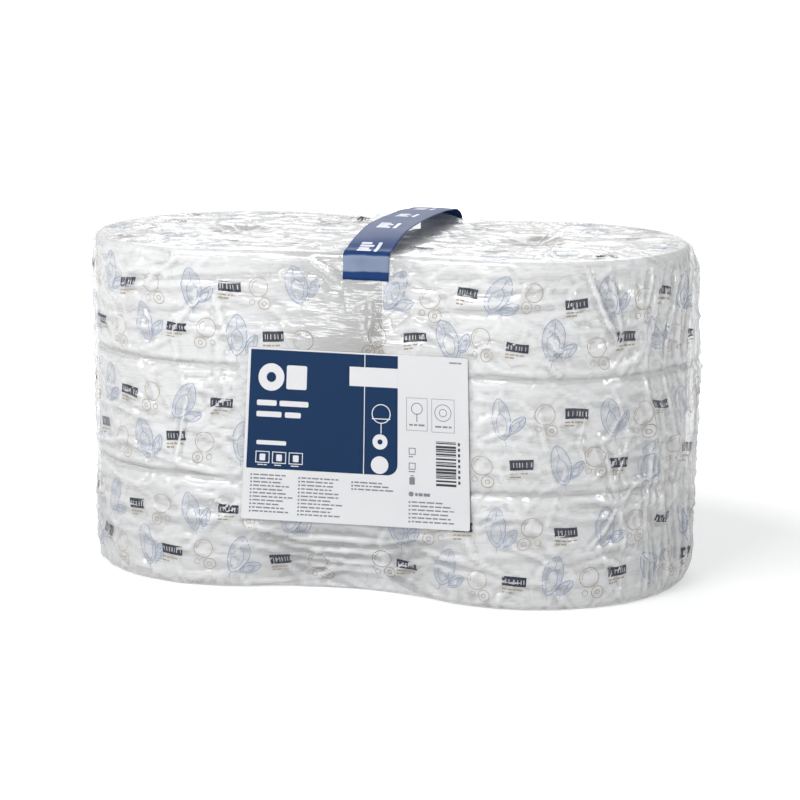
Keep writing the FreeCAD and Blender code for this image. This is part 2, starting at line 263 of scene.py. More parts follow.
class Finish:
    """The procedural nodes of a material or a world in the making."""

    def __init__(self, owner):
        self.owner = owner
        owner.use_nodes = True
        self.tree = owner.node_tree
        self.tree.nodes.clear()

    def node(self, kind, settings=None, inputs=None, output=0):
        """Adds any node, with its settings set first and then its sockets."""
        made = self.tree.nodes.new(kind)
        for name, value in (settings or {}).items():
            setattr(made, name, value)
        for name, value in (inputs or {}).items():
            self.feed(made.inputs[name], value)
        return Wire(self, made.outputs[output])

    def feed(self, socket, value):
        """Links a wire to a socket, or sets a plain value or colour on it."""
        if isinstance(value, Wire):
            self.tree.links.new(value.socket, socket)
        elif socket.type == "RGBA":
            socket.default_value = (*value[:3], 1.0)
        else:
            socket.default_value = value

    def maths(self, operation, *values, clamp=False):
        settings = {"operation": operation, "use_clamp": clamp}
        return self.node("ShaderNodeMath", settings, dict(enumerate(values)))

    def place(self):
        """Object coordinates as three numbers, in metres."""
        return self.split(self.node("ShaderNodeTexCoord", output="Object"))

    def split(self, vector):
        made = self.node("ShaderNodeSeparateXYZ", inputs={"Vector": vector})
        return [Wire(self, socket) for socket in made.socket.node.outputs]

    def join(self, x, y, z):
        return self.node("ShaderNodeCombineXYZ", inputs={"X": x, "Y": y, "Z": z})

    def noise(self, vector, scale, detail=2.0, roughness=0.5):
        inputs = {"Vector": vector, "Scale": scale, "Detail": detail, "Roughness": roughness}
        return self.node("ShaderNodeTexNoise", inputs=inputs, output="Fac")

    def mix(self, share, first, second):
        """Blends two colours."""
        inputs = {0: share, 6: first, 7: second}
        return self.node("ShaderNodeMix", {"data_type": "RGBA"}, inputs, output=2)

    def bump(self, height, strength, distance):
        inputs = {"Height": height, "Strength": strength, "Distance": distance}
        return self.node("ShaderNodeBump", inputs=inputs)

    def seen_rays(self):
        """1 for what the camera sees, also in a mirror or through glass, and 0 for light on the object."""
        path = self.node("ShaderNodeLightPath", output="Is Camera Ray")
        outputs = path.socket.node.outputs
        mirrored = Wire(self, outputs["Is Glossy Ray"]) + Wire(self, outputs["Is Transmission Ray"])
        return (path + mirrored).clamped()

    def shader(self, colour, sockets):
        """A principled shader whose sockets are named in lower case."""
        named = {"Base Color": colour}
        for name, value in sockets.items():
            named[name.replace("_", " ").title().replace("Ior", "IOR")] = value
        return self.node("ShaderNodeBsdfPrincipled", inputs=named)

    def surface(self, colour, gloss=0.0, **sockets):
        """Ends the finish with a surface that has a share of mirror gloss, and returns the material."""
        result = self.shader(colour, sockets)
        if gloss > 0:
            mirror = {"metallic": 1.0, "roughness": MIRROR_ROUGHNESS, "normal": sockets["normal"]}
            layers = {0: gloss, 1: result, 2: self.shader(WHITE, mirror)}
            result = self.node("ShaderNodeMixShader", inputs=layers)
        return self.end("ShaderNodeOutputMaterial", result)

    def end(self, kind, result):
        """Links the last shader to an output node, and returns the material or world."""
        out = self.tree.nodes.new(kind)
        self.tree.links.new(result.socket, out.inputs[0])
        return self.owner


def new_finish(name):
    return Finish(bpy.data.materials.new(name))


def scaled(colour, share):
    """A colour made darker, or lighter up to white."""
    return [min(1.0, channel * share) for channel in colour]


def distance_to(x, y):
    """Distance from the origin."""
    return (x * x + y * y) ** 0.5


def tissue_finish(settings):
    """Soft white paper: faint embossing, the turns on the ends and light variation."""
    paper = new_finish("tissue_paper")
    x, y, z = paper.place()
    from_axis = distance_to(abs(x) - STACK_X * MM, y)
    turns = (from_axis * 2600.0).sine() * 0.5 + 0.5
    on_ends = (0.5 - (from_axis - (ROLL_RADIUS - 4.0) * MM) / 0.002).clamped()
    spot = paper.join(x, y, z)
    emboss = paper.noise(spot, 900.0)
    layers = paper.noise(paper.join(x * 4.0, y * 4.0, z * 60.0), 6.0, 3.0)
    height = emboss * 0.6 + turns * on_ends * 0.35 + layers * 0.8
    shade = paper.noise(spot, 14.0, 3.0)
    lightness = (shade * 0.7 + layers * 0.3).clamped()
    colour = paper.mix(lightness, scaled(settings.tissue, 0.93), settings.tissue)
    return paper.surface(colour, roughness=0.9, normal=paper.bump(height, 0.35, 0.0006))


def core_finish(settings):
    """Grey-brown board, wound on a slant."""
    board = new_finish("core_board")
    x, y, z = board.place()
    turn = (x * 220.0 + z * 130.0).sine() * 0.5 + 0.5
    fibre = board.noise(board.join(x, y, z * 0.3), 700.0, 3.0)
    lightness = (fibre * 0.7 + turn * 0.2).clamped()
    colour = board.mix(lightness, scaled(settings.core, 0.75), settings.core)
    return board.surface(colour, roughness=0.85, normal=board.bump(fibre, 0.3, 0.0004))


def film_finish(settings):
    """Clear glossy film, with level folds round the rolls and upright ones at the ends, and painted light
    and shade in its colour.
    """
    film = new_finish("clear_film")
    x, y, z = film.place()
    slow = film.noise(film.join(x, y, z), 13.0)

    # Soft folds for the bump: level on the walls, upright on the gathered ends
    level = film.noise(film.join(x * 0.7, y * 0.7, z * 4.0), 24.0, 3.0, 0.6)
    upright = film.noise(film.join(x * 3.0, y * 3.0, z * 0.4), 40.0, 3.0, 0.6)
    at_end = ((abs(x) - 0.205) / 0.04).clamped()
    folds = level + (upright * 2.6 - level) * at_end

    # Fine crossing lines of crushed film, in patches
    bent = film.join(x + level * 0.012, y + slow * 0.02, z * 1.1 + upright * 0.012)
    cells = {"Vector": bent, "Scale": 42.0}
    edges = film.node("ShaderNodeTexVoronoi", {"feature": "DISTANCE_TO_EDGE"}, cells, "Distance")
    patchy = film.noise(film.join(x, y, z * 1.6), 30.0)
    lines = (1.0 - (edges * 34.0).clamped()) * ((patchy - 0.42) * 5.0).clamped()
    # Thin lines along the middle of the level folds, used only for painted shade
    sharp = 1.0 - (abs(level - 0.5) * 22.0).clamped()

    # Painted light: paler high on the walls and darker on the top, over random patches of paler and darker
    # film
    high = ((z - 0.17) / 0.07).clamped()
    on_top = ((z - 0.2845) / 0.002).clamped()
    painted_light_and_patches = (((slow - 0.25) * 1.6).clamped() + high * 0.6 - on_top * 0.75).clamped()
    colour = film.mix(painted_light_and_patches, scaled(settings.tint, 0.82), settings.tint)

    # Painted shade in the mesh's own dips, along the crushed lines and along the level folds, and a painted
    # highlight on the mesh's own ridges
    fold = film.node("ShaderNodeAttribute", {"attribute_name": "fold"}, output="Fac")
    ridge = (fold * 1.1 - 0.16).clamped()
    dip = (fold * -2.0 - 0.08).clamped()
    shadow = (lines * 0.3 + sharp * 0.2 + dip * 0.6).clamped()
    colour = film.mix(shadow, colour, scaled(settings.tint, 0.42))
    colour = film.mix((ridge * 0.6).clamped(), colour, (0.97, 0.975, 0.985))

    # Between the stacks the film is more see-through high up, where it is pulled taut, and less see-through
    # low down, so that its pale colour paints over the shade at the foot of the gap; ridges are a little
    # less see-through too
    in_valley = 1.0 - ((abs(x) - 0.03) / 0.02).clamped()
    low = 1.0 - ((z - 0.04) / 0.06).clamped()
    valley_cover_and_painted_foot = in_valley * (low * 0.55 - 0.22)
    cover = (settings.cover + ridge * 0.12 + (slow - 0.5) * 0.4 + valley_cover_and_painted_foot).clamped()
    normal = film.bump(folds - lines * 0.25, 0.5, 0.0015)
    return film.surface(colour, gloss=0.07, roughness=0.25, alpha=cover, normal=normal)


def ink_finish(name, colour, cover):
    """Thin glossy print on the film, a little patchy."""
    ink = new_finish(name)
    patchy = ink.noise(ink.join(*ink.place()), 160.0)
    alpha = ((patchy * 0.5 + 0.75) * cover).clamped()
    return ink.surface(colour, roughness=0.16, alpha=alpha)


def strap_finish(settings):
    """Satin printed tape with fine lengthwise lines, and a painted sheen in a strip across its front tail.
    """
    tape = new_finish("strap_tape")
    across, length, _ = tape.split(tape.node("ShaderNodeUVMap", {"uv_map": "tape"}))
    lines = tape.noise(tape.join(across * 900.0, length * 14.0, 0.0), 1.0)
    clouds = tape.noise(tape.join(across * 40.0, length * 30.0, 0.0), 1.0)
    lighter = [min(1.0, channel * 1.3 + 0.006) for channel in settings.colour]
    colour = tape.mix((clouds * 0.6 + lines * 0.3).clamped(), settings.colour, lighter)
    # Painted sheen: a paler strip across the front tail, where a lamp's reflection falls
    sheen_middle, sheen_reach = 0.0155, 0.006
    sheen_band = 1.0 - ((abs(length + clouds * 0.004 - sheen_middle) - sheen_reach) / 0.0012).clamped()
    colour = tape.mix(sheen_band * (0.5 + clouds * 0.5), colour, (0.30, 0.36, 0.48))
    normal = tape.bump(lines + clouds * 2.0, 0.12, 0.0004)
    satin = 0.34 + clouds * 0.10
    return tape.surface(colour, roughness=satin, normal=normal, specular_ior_level=0.08)


def print_finish(name, colour, roughness=0.5, shine=0.5):
    """Printed or coated paper with a fine tooth."""
    sheet = new_finish(name)
    spot = sheet.join(*sheet.place())
    tooth = sheet.noise(spot, 1500.0)
    cloud = sheet.noise(spot, 25.0)
    shade = sheet.mix((tooth * 0.4 + cloud * 0.6).clamped(), scaled(colour, 0.94), colour)
    normal = sheet.bump(tooth * 0.4 + cloud, 0.10, 0.0004)
    return sheet.surface(shade, roughness=roughness, normal=normal, specular_ior_level=shine)


# Mesh helpers


def as_object(bm, name, material, crisp=False):
    """Closes a bmesh into a named object that sits at the origin, with sharp corners if it is crisp."""
    if crisp:
        for edge in bm.edges:
            edge.smooth = edge.calc_face_angle(0.0) < 0.6
    mesh = bpy.data.meshes.new(name)
    bm.to_mesh(mesh)
    bm.free()
    piece = bpy.data.objects.new(name, mesh)
    bpy.context.scene.collection.objects.link(piece)
    mesh.materials.append(material)
    for polygon in mesh.polygons:
        polygon.use_smooth = True
    return piece


def lie_on(bm, place):
    """Moves a flat shape in millimetres onto a surface and turns it into metres."""
    for vert in bm.verts:
        vert.co = place(vert.co.x, vert.co.y, vert.co.z) * MM
    bmesh.ops.recalc_face_normals(bm, faces=bm.faces[:])


def thicken(bm, thickness):
    """Gives flat shapes a thickness above their plane."""
    made = bmesh.ops.extrude_face_region(bm, geom=bm.faces[:], use_keep_orig=True)
    raised = [item for item in made["geom"] if isinstance(item, bmesh.types.BMVert)]
    bmesh.ops.translate(bm, vec=(0, 0, thickness), verts=raised)


def cut_into_squares(bm, step):
    """Cuts flat shapes along a square grid, so that they can follow a curved surface."""
    xs = [vert.co.x for vert in bm.verts]
    ys = [vert.co.y for vert in bm.verts]
    for axis, low, high in ((0, min(xs), max(xs)), (1, min(ys), max(ys))):
        normal = [0.0, 0.0, 0.0]
        normal[axis] = 1.0
        for count in range(math.floor(low / step) + 1, math.ceil(high / step)):
            spot = [value * count * step for value in normal]
            geometry = bm.verts[:] + bm.edges[:] + bm.faces[:]
            bmesh.ops.bisect_plane(bm, geom=geometry, dist=1e-5, plane_co=spot, plane_no=normal)


def round_corners(bm, corners, radius, segments):
    bmesh.ops.bevel(
        bm, geom=corners, offset=radius, offset_type="OFFSET", segments=segments, profile=0.5,
        affect="VERTICES", material=-1,
    )


def add_rectangle(bm, left, foot, width, height, corner=0.0):
    """A flat rectangle, with round corners if asked for."""
    middle = Matrix.Translation((left + width / 2, foot + height / 2, 0))
    where = middle @ Matrix.Diagonal((width, height, 1, 1))
    made = bmesh.ops.create_grid(bm, x_segments=1, y_segments=1, size=0.5, matrix=where)
    if corner > 0:
        round_corners(bm, made["verts"], corner, 6)


def add_disc(bm, x, y, radius, hole=0.0):
    """A flat disc, or a ring if it has a hole."""
    where = Matrix.Translation((x, y, 0))
    outer = bmesh.ops.create_circle(bm, cap_ends=hole == 0, segments=36, radius=radius, matrix=where)
    if hole > 0:
        inner = bmesh.ops.create_circle(bm, cap_ends=False, segments=36, radius=hole, matrix=where)
        ends = set(outer["verts"]) | set(inner["verts"])
        rims = [edge for edge in bm.edges if edge.verts[0] in ends]
        bmesh.ops.bridge_loops(bm, edges=rims)


def add_frame(bm, left, foot, width, height, line):
    """An outlined rectangle made of four bars."""
    add_rectangle(bm, left, foot, width, line)
    add_rectangle(bm, left, foot + height - line, width, line)
    add_rectangle(bm, left, foot + line, line, height - 2 * line)
    add_rectangle(bm, left + width - line, foot + line, line, height - 2 * line)


def finish_piece(piece, slot, *nodes):
    """Hangs a piece on the pack and hides the nodes that it stands for."""
    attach(piece, "root")
    if nodes:
        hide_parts(*nodes)


# Film


def smooth_step(low, high, value):
    """0 below low, 1 above high, and smooth in between, for arrays and numbers."""
    share = np.clip((value - low) / (high - low), 0.0, 1.0)
    return share * share * (3 - 2 * share)


def dipped_front(x, radius, angle):
    """Distance from the middle plane to film that dips between the stacks, as in the construction."""
    slope = math.radians(angle)
    leave_x = STACK_X - radius * math.sin(slope)
    if abs(x) >= leave_x:
        return math.sqrt(max(0.0, radius ** 2 - (STACK_X - abs(x)) ** 2))
    rise = math.tan(slope) * leave_x / 2 * (1 - (x / leave_x) ** 2)
    return radius * math.cos(slope) - rise


def valley_share(height):
    """How much of its full dip the film has at a height."""
    foot = LABEL_FOOT - VALLEY_MARGIN
    head = LABEL_TOP + VALLEY_MARGIN
    if height < foot:
        return min(1.0, (foot - height) / (foot - RIM_HEIGHT))
    if height > head:
        return min(1.0, (height - head) / (PACK_HEIGHT - RIM_HEIGHT - head))
    return 0.0


def film_front(x, height, radius):
    """Distance from the middle plane to the film between the stacks."""
    angle = VALLEY_ANGLE_BASE if height < PACK_HEIGHT / 2 else VALLEY_ANGLE_TOP
    return radius + valley_share(height) * (dipped_front(x, radius, angle) - radius)


def outline_point(u, height, radius):
    """Place of the film at a distance u along its wrap, and the direction out of the pack there."""
    side = -1.0 if u < 0 else 1.0
    along = abs(u)
    if along <= STACK_X:
        return Vector((u, -film_front(u, height, radius), height)), Vector((0, -1, 0))
    turn = (along - STACK_X) / FILM_RADIUS
    if turn <= math.pi:
        out = Vector((side * math.sin(turn), -math.cos(turn), 0))
        return Vector((side * STACK_X, 0, height)) + out * radius, out
    x = side * (HALF_WRAP - along)
    return Vector((x, film_front(x, height, radius), height)), Vector((0, 1, 0))


# Creases on the film's walls: a route of places (distance along the wrap from the front
# middle, height), then how far it stands out and its width. A height below zero is a dip.
CREASES = (
    (((-240, 257), (-208, 260), (-140, 263), (-79, 267), (-35, 272)), -1.2, 4.6),
    (((-240, 249), (-208, 252), (-140, 257), (-79, 261)), 0.9, 4.0),
    (((-238, 229), (-190, 233), (-120, 238), (-79, 241), (-55, 240)), -1.3, 5.0),
    (((-215, 218), (-170, 220), (-110, 224)), 0.8, 4.5),
    (((62, 272), (110, 273), (150, 273), (198, 276)), -1.2, 3.8),
    (((55, 261), (110, 262), (150, 264), (190, 267)), -1.3, 4.4),
    (((62, 246), (120, 245), (160, 249), (200, 255)), -1.2, 4.2),
    (((70, 254), (120, 254), (170, 258)), 0.9, 4.0),
    (((-116, 262), (-109, 245), (-105, 229), (-93, 207)), 1.3, 2.8),
    (((-136, 165), (-142, 131), (-149, 100)), 1.3, 2.4),
    (((-225, 150), (-190, 143), (-160, 139)), 1.1, 3.0),
    (((-215, 120), (-170, 112), (-120, 100), (-92, 98)), 1.4, 3.4),
    (((-190, 70), (-150, 62), (-115, 60), (-92, 66)), 1.3, 3.4),
    (((-200, 45), (-160, 40), (-120, 44)), 1.0, 3.4),
    (((200, 288), (210, 265), (221, 238), (236, 214)), 2.8, 3.0),
    (((222, 283), (227, 264), (233, 235), (237, 214)), 1.8, 2.6),
    (((213, 273), (226, 246), (236, 216)), -0.9, 4.0),
    (((171, 234), (179, 219), (191, 204)), 2.0, 2.8),
    (((171, 211), (176, 200), (186, 193)), 1.6, 2.6),
    (((234, 86), (223, 124), (215, 146)), 2.1, 2.6),
    (((234, 86), (232, 110), (241, 131)), 1.8, 2.4),
    (((234, 86), (252, 102), (275, 109)), 2.0, 2.4),
    (((234, 86), (222, 66), (205, 50)), 1.7, 2.6),
    (((234, 86), (240, 62), (238, 40)), 1.6, 2.4),
    (((234, 86), (214, 92), (190, 94)), 1.4, 2.8),
    (((234, 86), (226, 105), (228, 128)), 1.4, 2.2),
    (((240, 30), (222, 40), (196, 38)), 1.4, 2.6),
    (((206, 118), (198, 140), (204, 166)), 1.3, 2.4),
    (((-92, 58), (-40, 47), (36, 49), (80, 58)), 2.0, 3.0),
    (((-75, 47), (-25, 37), (30, 38), (62, 44)), 1.8, 2.8),
    (((-100, 43), (-55, 33), (0, 27), (48, 28)), 1.7, 3.0),
    (((-60, 27), (-20, 21), (34, 18)), 1.4, 2.8),
    (((60, 48), (85, 40), (118, 37)), 1.6, 2.8),
    (((70, 34), (100, 27), (140, 26)), 1.3, 2.8),
    (((-66, 283), (-31, 281), (-14, 271), (3, 259)), 1.8, 2.6),
    (((-60, 270), (-34, 268), (-10, 260)), 1.6, 2.4),
    (((-48, 276), (-20, 275), (-2, 266)), 1.4, 2.4),
    (((-52, 258), (-22, 256), (6, 250)), 1.3, 2.6),
    (((42, 262), (70, 258), (96, 262)), 1.4, 2.8),
    (((46, 268), (60, 272), (80, 271)), 1.2, 2.6),
    (((20, 258), (24, 240), (20, 213)), 1.0, 2.4),
    (((108, 212), (122, 219), (140, 217)), 1.6, 2.8),
    (((112, 140), (140, 150), (165, 149)), 1.3, 3.0),
    (((114, 66), (135, 78), (168, 80)), 1.4, 3.0),
    (((-91, 64), (-112, 78), (-136, 82)), 1.4, 2.8),
    (((165, 178), (168, 150), (176, 120)), 1.1, 2.6),
    (((128, 58), (158, 50), (196, 30)), 1.3, 3.0),
)

# Short folds on the top: a route of places (x, y), then the height and width
TOP_CREASES = (
    (((247, -62), (254, -20), (252, 40)), 2.0, 3.4),
    (((-60, -110), (-20, -95), (-8, -60)), 1.5, 3.0),
    (((-84, -118), (-40, -108), (-8, -100)), 1.3, 3.0),
    (((60, -112), (90, -70), (100, -20)), 1.2, 3.2),
    (((150, -120), (165, -80), (150, -40)), 1.1, 3.2),
    (((190, -100), (215, -60), (222, -10)), 1.4, 3.2),
    (((-190, -90), (-160, -50), (-165, 0)), 1.2, 3.2),
    (((-230, -60), (-215, -10), (-225, 50)), 1.3, 3.2),
    (((-100, -90), (-80, -40), (-90, 20)), 1.1, 3.0),
    (((-120, 60), (-60, 80), (-10, 100)), 1.5, 3.2),
    (((60, 70), (120, 90), (180, 80)), 1.3, 3.2),
    (((70, 120), (130, 60), (160, 30)), 1.1, 3.0),
)


def crease_relief(us, vs, creases):
    """Height of named creases over arrays of places: sharp along their line, and fading at both ends."""
    relief = np.zeros_like(us)
    for route, height, width in creases:
        spots = [Vector(spot) for spot in route]
        lengths = [(b - a).length for a, b in zip(spots, spots[1:])]
        total = sum(lengths)
        best = np.full_like(us, 1e9)
        share = np.zeros_like(us)
        done = 0.0
        for a, b, length in zip(spots, spots[1:], lengths):
            along = ((us - a.x) * (b.x - a.x) + (vs - a.y) * (b.y - a.y)) / length ** 2
            along = np.clip(along, 0.0, 1.0)
            away = np.hypot(us - a.x - along * (b.x - a.x), vs - a.y - along * (b.y - a.y))
            nearer = away < best
            best = np.where(nearer, away, best)
            share = np.where(nearer, (done + along * length) / total, share)
            done += length
        taper = np.clip(4 * share, 0, 1) * np.clip(4 * (1 - share), 0, 1)
        fold = np.clip(1 - best / (width * (0.35 + 0.65 * taper)), 0, 1)
        relief += height * taper * fold ** 1.3
    return relief


def noise_field(us, vs, u_size, v_size, seed):
    """Smooth noise over arrays of places, with its own size each way."""
    spots = zip((us / u_size).ravel(), (vs / v_size).ravel())
    values = [noise.noise(Vector((u, v, seed))) for u, v in spots]
    return np.array(values).reshape(us.shape)


def ridges(field, width):
    """Thin lines where a noise field crosses zero."""
    return np.clip(1 - np.abs(field) / width, 0, 1)


def straight_folds(us, vs, u_size, v_size, width, seed):
    """Straight thin folds that meet in corners, as in crushed film."""
    spots = zip((us / u_size).ravel(), (vs / v_size).ravel())
    values = []
    for u, v in spots:
        near = noise.voronoi(Vector((u, v, seed)))[0]
        values.append(near[1] - near[0])
    return np.clip(1 - np.array(values).reshape(us.shape) / width, 0, 1)


def past_end(us):
    """Angle from the end of the pack at distances along the wrap, in degrees, towards the back."""
    return np.degrees((np.abs(us) - STACK_X) / FILM_RADIUS) - 90


def gathered_share(us):
    """How much the film is gathered at a distance along the wrap: 1 at the ends, 0 elsewhere."""
    return 1 - smooth_step(0.84, 1.0, np.abs(past_end(us) - GATHER_TURN) / 46.0)


def beyond_box(us, vs, left, right, foot, head):
    """Distance outside an upright box on the wall, below zero inside it."""
    sideways = np.abs(us - (left + right) / 2) - (right - left) / 2
    upward = np.abs(vs - (foot + head) / 2) - (head - foot) / 2
    return np.maximum(sideways, upward)


def gathers(us, vs, pleat, ends):
    """Upright pleats at both ends, and at the right one the bulge and the knot that they leave."""
    turn = past_end(us)
    bulge = np.clip(1 - ((turn - GATHER_TURN) / GATHER_HALF_ANGLE) ** 2, 0, 1) ** 1.2
    bulge = bulge * np.where(us > 0, GATHER_BULGE, 0.0)
    bulge = bulge * (0.45 + 0.55 * np.exp(-((vs - 165) / 75) ** 2))
    wander = noise_field(us, vs, 300.0, 80.0, 3.1) * 18
    pleats = ridges(noise_field(us + wander, vs, 15.0, 170.0, 5.7), 0.22)
    fine_pleats = ridges(noise_field(us + wander * 0.6, vs, 8.0, 90.0, 8.3), 0.34)
    rim_fade = smooth_step(1.0, 20.0, np.minimum(vs, PACK_HEIGHT - vs))
    gathered = (bulge + (pleats + fine_pleats * 0.4) * pleat * ends) * rim_fade
    knot = np.exp(-((turn - 14) / 10) ** 2 - ((vs - 200) / 45) ** 2)
    return gathered + knot * np.where(us > 0, 3.0, 0.0)


def crumples(us, vs, crease, ends):
    """Soft, level and slanted folds all over the walls, and patches of crushed film."""
    soft = noise_field(us, vs, 75.0, 38.0, 1.3) * 0.9 + 0.1
    level = ridges(noise_field(us, vs, 95.0, 20.0, 2.9), 0.16) * 0.75
    slanted = ridges(noise_field(us + vs * 0.8, vs - us * 0.25, 60.0, 34.0, 4.4), 0.12) * 0.7
    crossing = ridges(noise_field(us, vs, 30.0, 19.0, 6.2), 0.16) * 0.35
    plain = ((level + slanted + crossing) * crease + soft) * (1 - 0.6 * ends)
    patches = np.clip(0.35 + 1.6 * noise_field(us, vs, 110.0, 70.0, 21.0), 0.0, 1.0)
    patches = np.maximum(patches, 0.8 * np.clip(1 - vs / 60, 0, 1))
    patches = np.where(us > 0, np.maximum(patches, smooth_step(190, 240, us)), patches)
    crushed = straight_folds(us + vs * 0.5, vs, 50.0, 44.0, 0.09, 2.5) * 0.55
    crushed += straight_folds(us, vs + us * 0.3, 24.0, 28.0, 0.13, 6.5) * 0.3
    slack = 1 - (1 - smooth_step(36, 60, np.abs(us))) * smooth_step(60, 110, vs)
    return (plain + crushed * patches * crease) * (0.25 + 0.75 * slack)


def seam_share(us, vs):
    """How far the film is drawn in between the levels of rolls, along lines that wander."""
    seams = np.zeros_like(us)
    for seam in SEAMS:
        wave = noise_field(us, vs, 120.0, 400.0, 7.0 + seam) * 2.4
        away = np.abs(vs - seam - wave) / SEAM_REACH
        seams += np.clip(1 - away, 0, 1) ** 0.85
    return seams * np.clip(0.75 + 0.9 * noise_field(us, vs, 80.0, 300.0, 9.4), 0.15, 1.0)


def pressed(relief, away, reach, height):
    """The film's relief held down to a height under something that lies on it."""
    free = smooth_step(0.0, reach, away)
    return relief * free + np.minimum(relief, height) * (1 - free)


def wall_relief(us, vs, settings):
    """How far the film stands out from its plain shape on the walls, in millimetres."""
    crease = settings.crease_height / MM
    ends = gathered_share(us) * np.where(us > 0, 1.0, 0.35)
    relief = gathers(us, vs, settings.pleat_height / MM, ends) + crumples(us, vs, crease, ends)
    relief = relief + crease_relief(us, vs, CREASES) * crease / 1.1
    seams = seam_share(us, vs)
    relief = np.maximum(relief, -1.1) * (1 - 0.7 * seams) - seams * SEAM_DEPTH * (1 - 0.55 * ends)
    off_label = beyond_box(us, vs, label_low.x - 1, label_high.x + 1, LABEL_FOOT - 1, LABEL_TOP + 1)
    relief = pressed(relief, off_label, 7.0, -0.3)
    half = STRAP_WIDTH / 2 + 1
    foot, head = strap_low.z - 1, PACK_HEIGHT + 9
    on_back = HALF_WRAP - np.abs(us)
    off_strap = np.minimum(
        beyond_box(us, vs, STRAP_FRONT_X - half, STRAP_FRONT_X + half, foot, head),
        beyond_box(on_back, vs, -half - STRAP_BACK_X, half + STRAP_BACK_X, foot, head),
    )
    return pressed(relief, off_strap, 5.0, 0.0)


def top_relief(xs, ys, settings):
    """How far the film stands above the top of the rolls, in millimetres."""
    crease = settings.crease_height / MM
    field = noise_field(xs, ys, 48.0, 34.0, 11.2)
    lines = ridges(field, 0.16) * 0.7 + straight_folds(xs, ys, 34.0, 30.0, 0.16, 12.9) * 0.7
    soft = np.abs(noise_field(xs, ys, 60.0, 60.0, 15.5)) * 1.8
    relief = lines * crease + soft + crease_relief(xs, ys, TOP_CREASES) * crease / 1.2
    from_axis = np.hypot(np.abs(xs) - STACK_X, ys)
    hole = 1 - smooth_step(6.0, CORE_BORE_RADIUS - 3, from_axis)
    turn = np.arctan2(ys, np.abs(xs) - STACK_X)
    spokes = ridges(np.sin(turn * 7 + xs * 0.02), 0.35) * smooth_step(4.0, 20.0, from_axis)
    spokes = spokes * (1 - smooth_step(24.0, 52.0, from_axis))
    relief = relief * (1 - hole) + spokes * 0.9 - 3.4 * hole
    middle = (STRAP_FRONT_X + STRAP_BACK_X) / 2
    under_strap = (1 - smooth_step(20.0, 30.0, np.abs(xs - middle))) * smooth_step(60.0, 96.0, np.abs(ys))
    relief = relief * (1 - under_strap)
    raised = np.exp(-((xs - middle + 18) / 38.0) ** 4 - ((ys - 102) / 17.0) ** 2)
    return relief + raised * 8.2


def sharpness(relief):
    """How much each place stands proud of its neighbours, in millimetres: ridges above zero, dips below."""
    wide = np.pad(relief, 2, mode="edge")
    around = wide[4:, 2:-2] + wide[:-4, 2:-2] + wide[2:-2, 4:] + wide[2:-2, :-4]
    return relief - around / 4


def film_rows():
    """Rows of the film from the middle of its underside to the middle of its top.

    Each row is its part of the film, its height and how far it is drawn in from the wall,
    in millimetres on the rims and as a share of the way to the middle on the flat parts.
    """
    base_rings, wall_rows, rim_rows, top_rings = 4, 106, 4, 34
    rows = [("base", 0.0, 1 - ring / base_rings) for ring in range(base_rings)]
    for step in range(rim_rows):
        turn = math.pi / 2 * (1 - step / rim_rows)
        rows.append(("rim", RIM_HEIGHT * (1 - math.sin(turn)), RIM_INSET * (1 - math.cos(turn))))
    for step in range(wall_rows + 1):
        rows.append(("wall", RIM_HEIGHT + (PACK_HEIGHT - 2 * RIM_HEIGHT) * step / wall_rows, 0.0))
    for step in range(1, rim_rows + 1):
        turn = math.pi / 2 * step / rim_rows
        height = PACK_HEIGHT - RIM_HEIGHT * (1 - math.sin(turn))
        rows.append(("rim", height, RIM_INSET * (1 - math.cos(turn))))
    rows += [("top", PACK_HEIGHT, ring / top_rings) for ring in range(1, top_rings + 1)]
    return rows


def wrap_stations():
    """Distances along the wrap, spaced alike on the front and the back so that they meet."""
    front_half, end_turn = 46, 220
    front = [STACK_X * step / front_half for step in range(front_half + 1)]
    arc = [STACK_X + math.pi * FILM_RADIUS * step / end_turn for step in range(1, end_turn + 1)]
    back = [HALF_WRAP - STACK_X * (1 - step / front_half) for step in range(1, front_half + 1)]
    right = front + arc + back
    return [-place for place in reversed(right[1:])] + right


def build_film(settings):
    """The film as one closed skin, from a grid that is wrapped round the pack and welded."""
    rows = film_rows()
    stations = wrap_stations()
    us, heights = np.meshgrid(np.array(stations), np.array([row[1] for row in rows]))
    walls = wall_relief(us, heights, settings)
    points = np.zeros(us.shape + (3,))
    for j, (part, height, inset) in enumerate(rows):
        for i, u in enumerate(stations):
            if part in ("wall", "rim"):
                fade = 1 - inset / RIM_INSET
                point, _ = outline_point(u, height, FILM_RADIUS - inset + walls[j, i] * fade)
            else:
                rim, _ = outline_point(u, height, FILM_RADIUS - RIM_INSET)
                spine = Vector((min(max(rim.x, -STACK_X), STACK_X), 0, height))
                point = rim.lerp(spine, inset)
            points[j, i] = point
    top = [j for j, row in enumerate(rows) if row[0] == "top"]
    lift = top_relief(points[top, :, 0], points[top, :, 1], settings)
    inset = np.array([rows[j][2] for j in top])[:, None]
    points[top, :, 2] += lift * np.clip(inset * 8, 0, 1)
    folds = sharpness(walls)
    folds[top, :] = sharpness(lift)

    bm = bmesh.new()
    fold = bm.verts.layers.float.new("fold")
    columns, last_row = len(stations) - 1, len(rows) - 1
    bmesh.ops.create_grid(bm, x_segments=columns, y_segments=last_row, size=0.5)
    for vert in bm.verts:
        i = round((vert.co.x + 0.5) * columns)
        j = round((vert.co.y + 0.5) * last_row)
        vert.co = points[j, i]
        vert[fold] = folds[j, i]
    bmesh.ops.remove_doubles(bm, verts=bm.verts[:], dist=0.02)
    bmesh.ops.scale(bm, vec=(MM, MM, MM), verts=bm.verts[:])
    return as_object(bm, "film_skin", film_finish(settings))


# Print on the film. It is drawn flat, in millimetres, and then laid on the film's creases.


def pull(across, up, width, height, seed):
    """How much the film's pull moves print there, from -1 to 1."""
    return noise.noise(Vector((across / width, up / height, seed)))


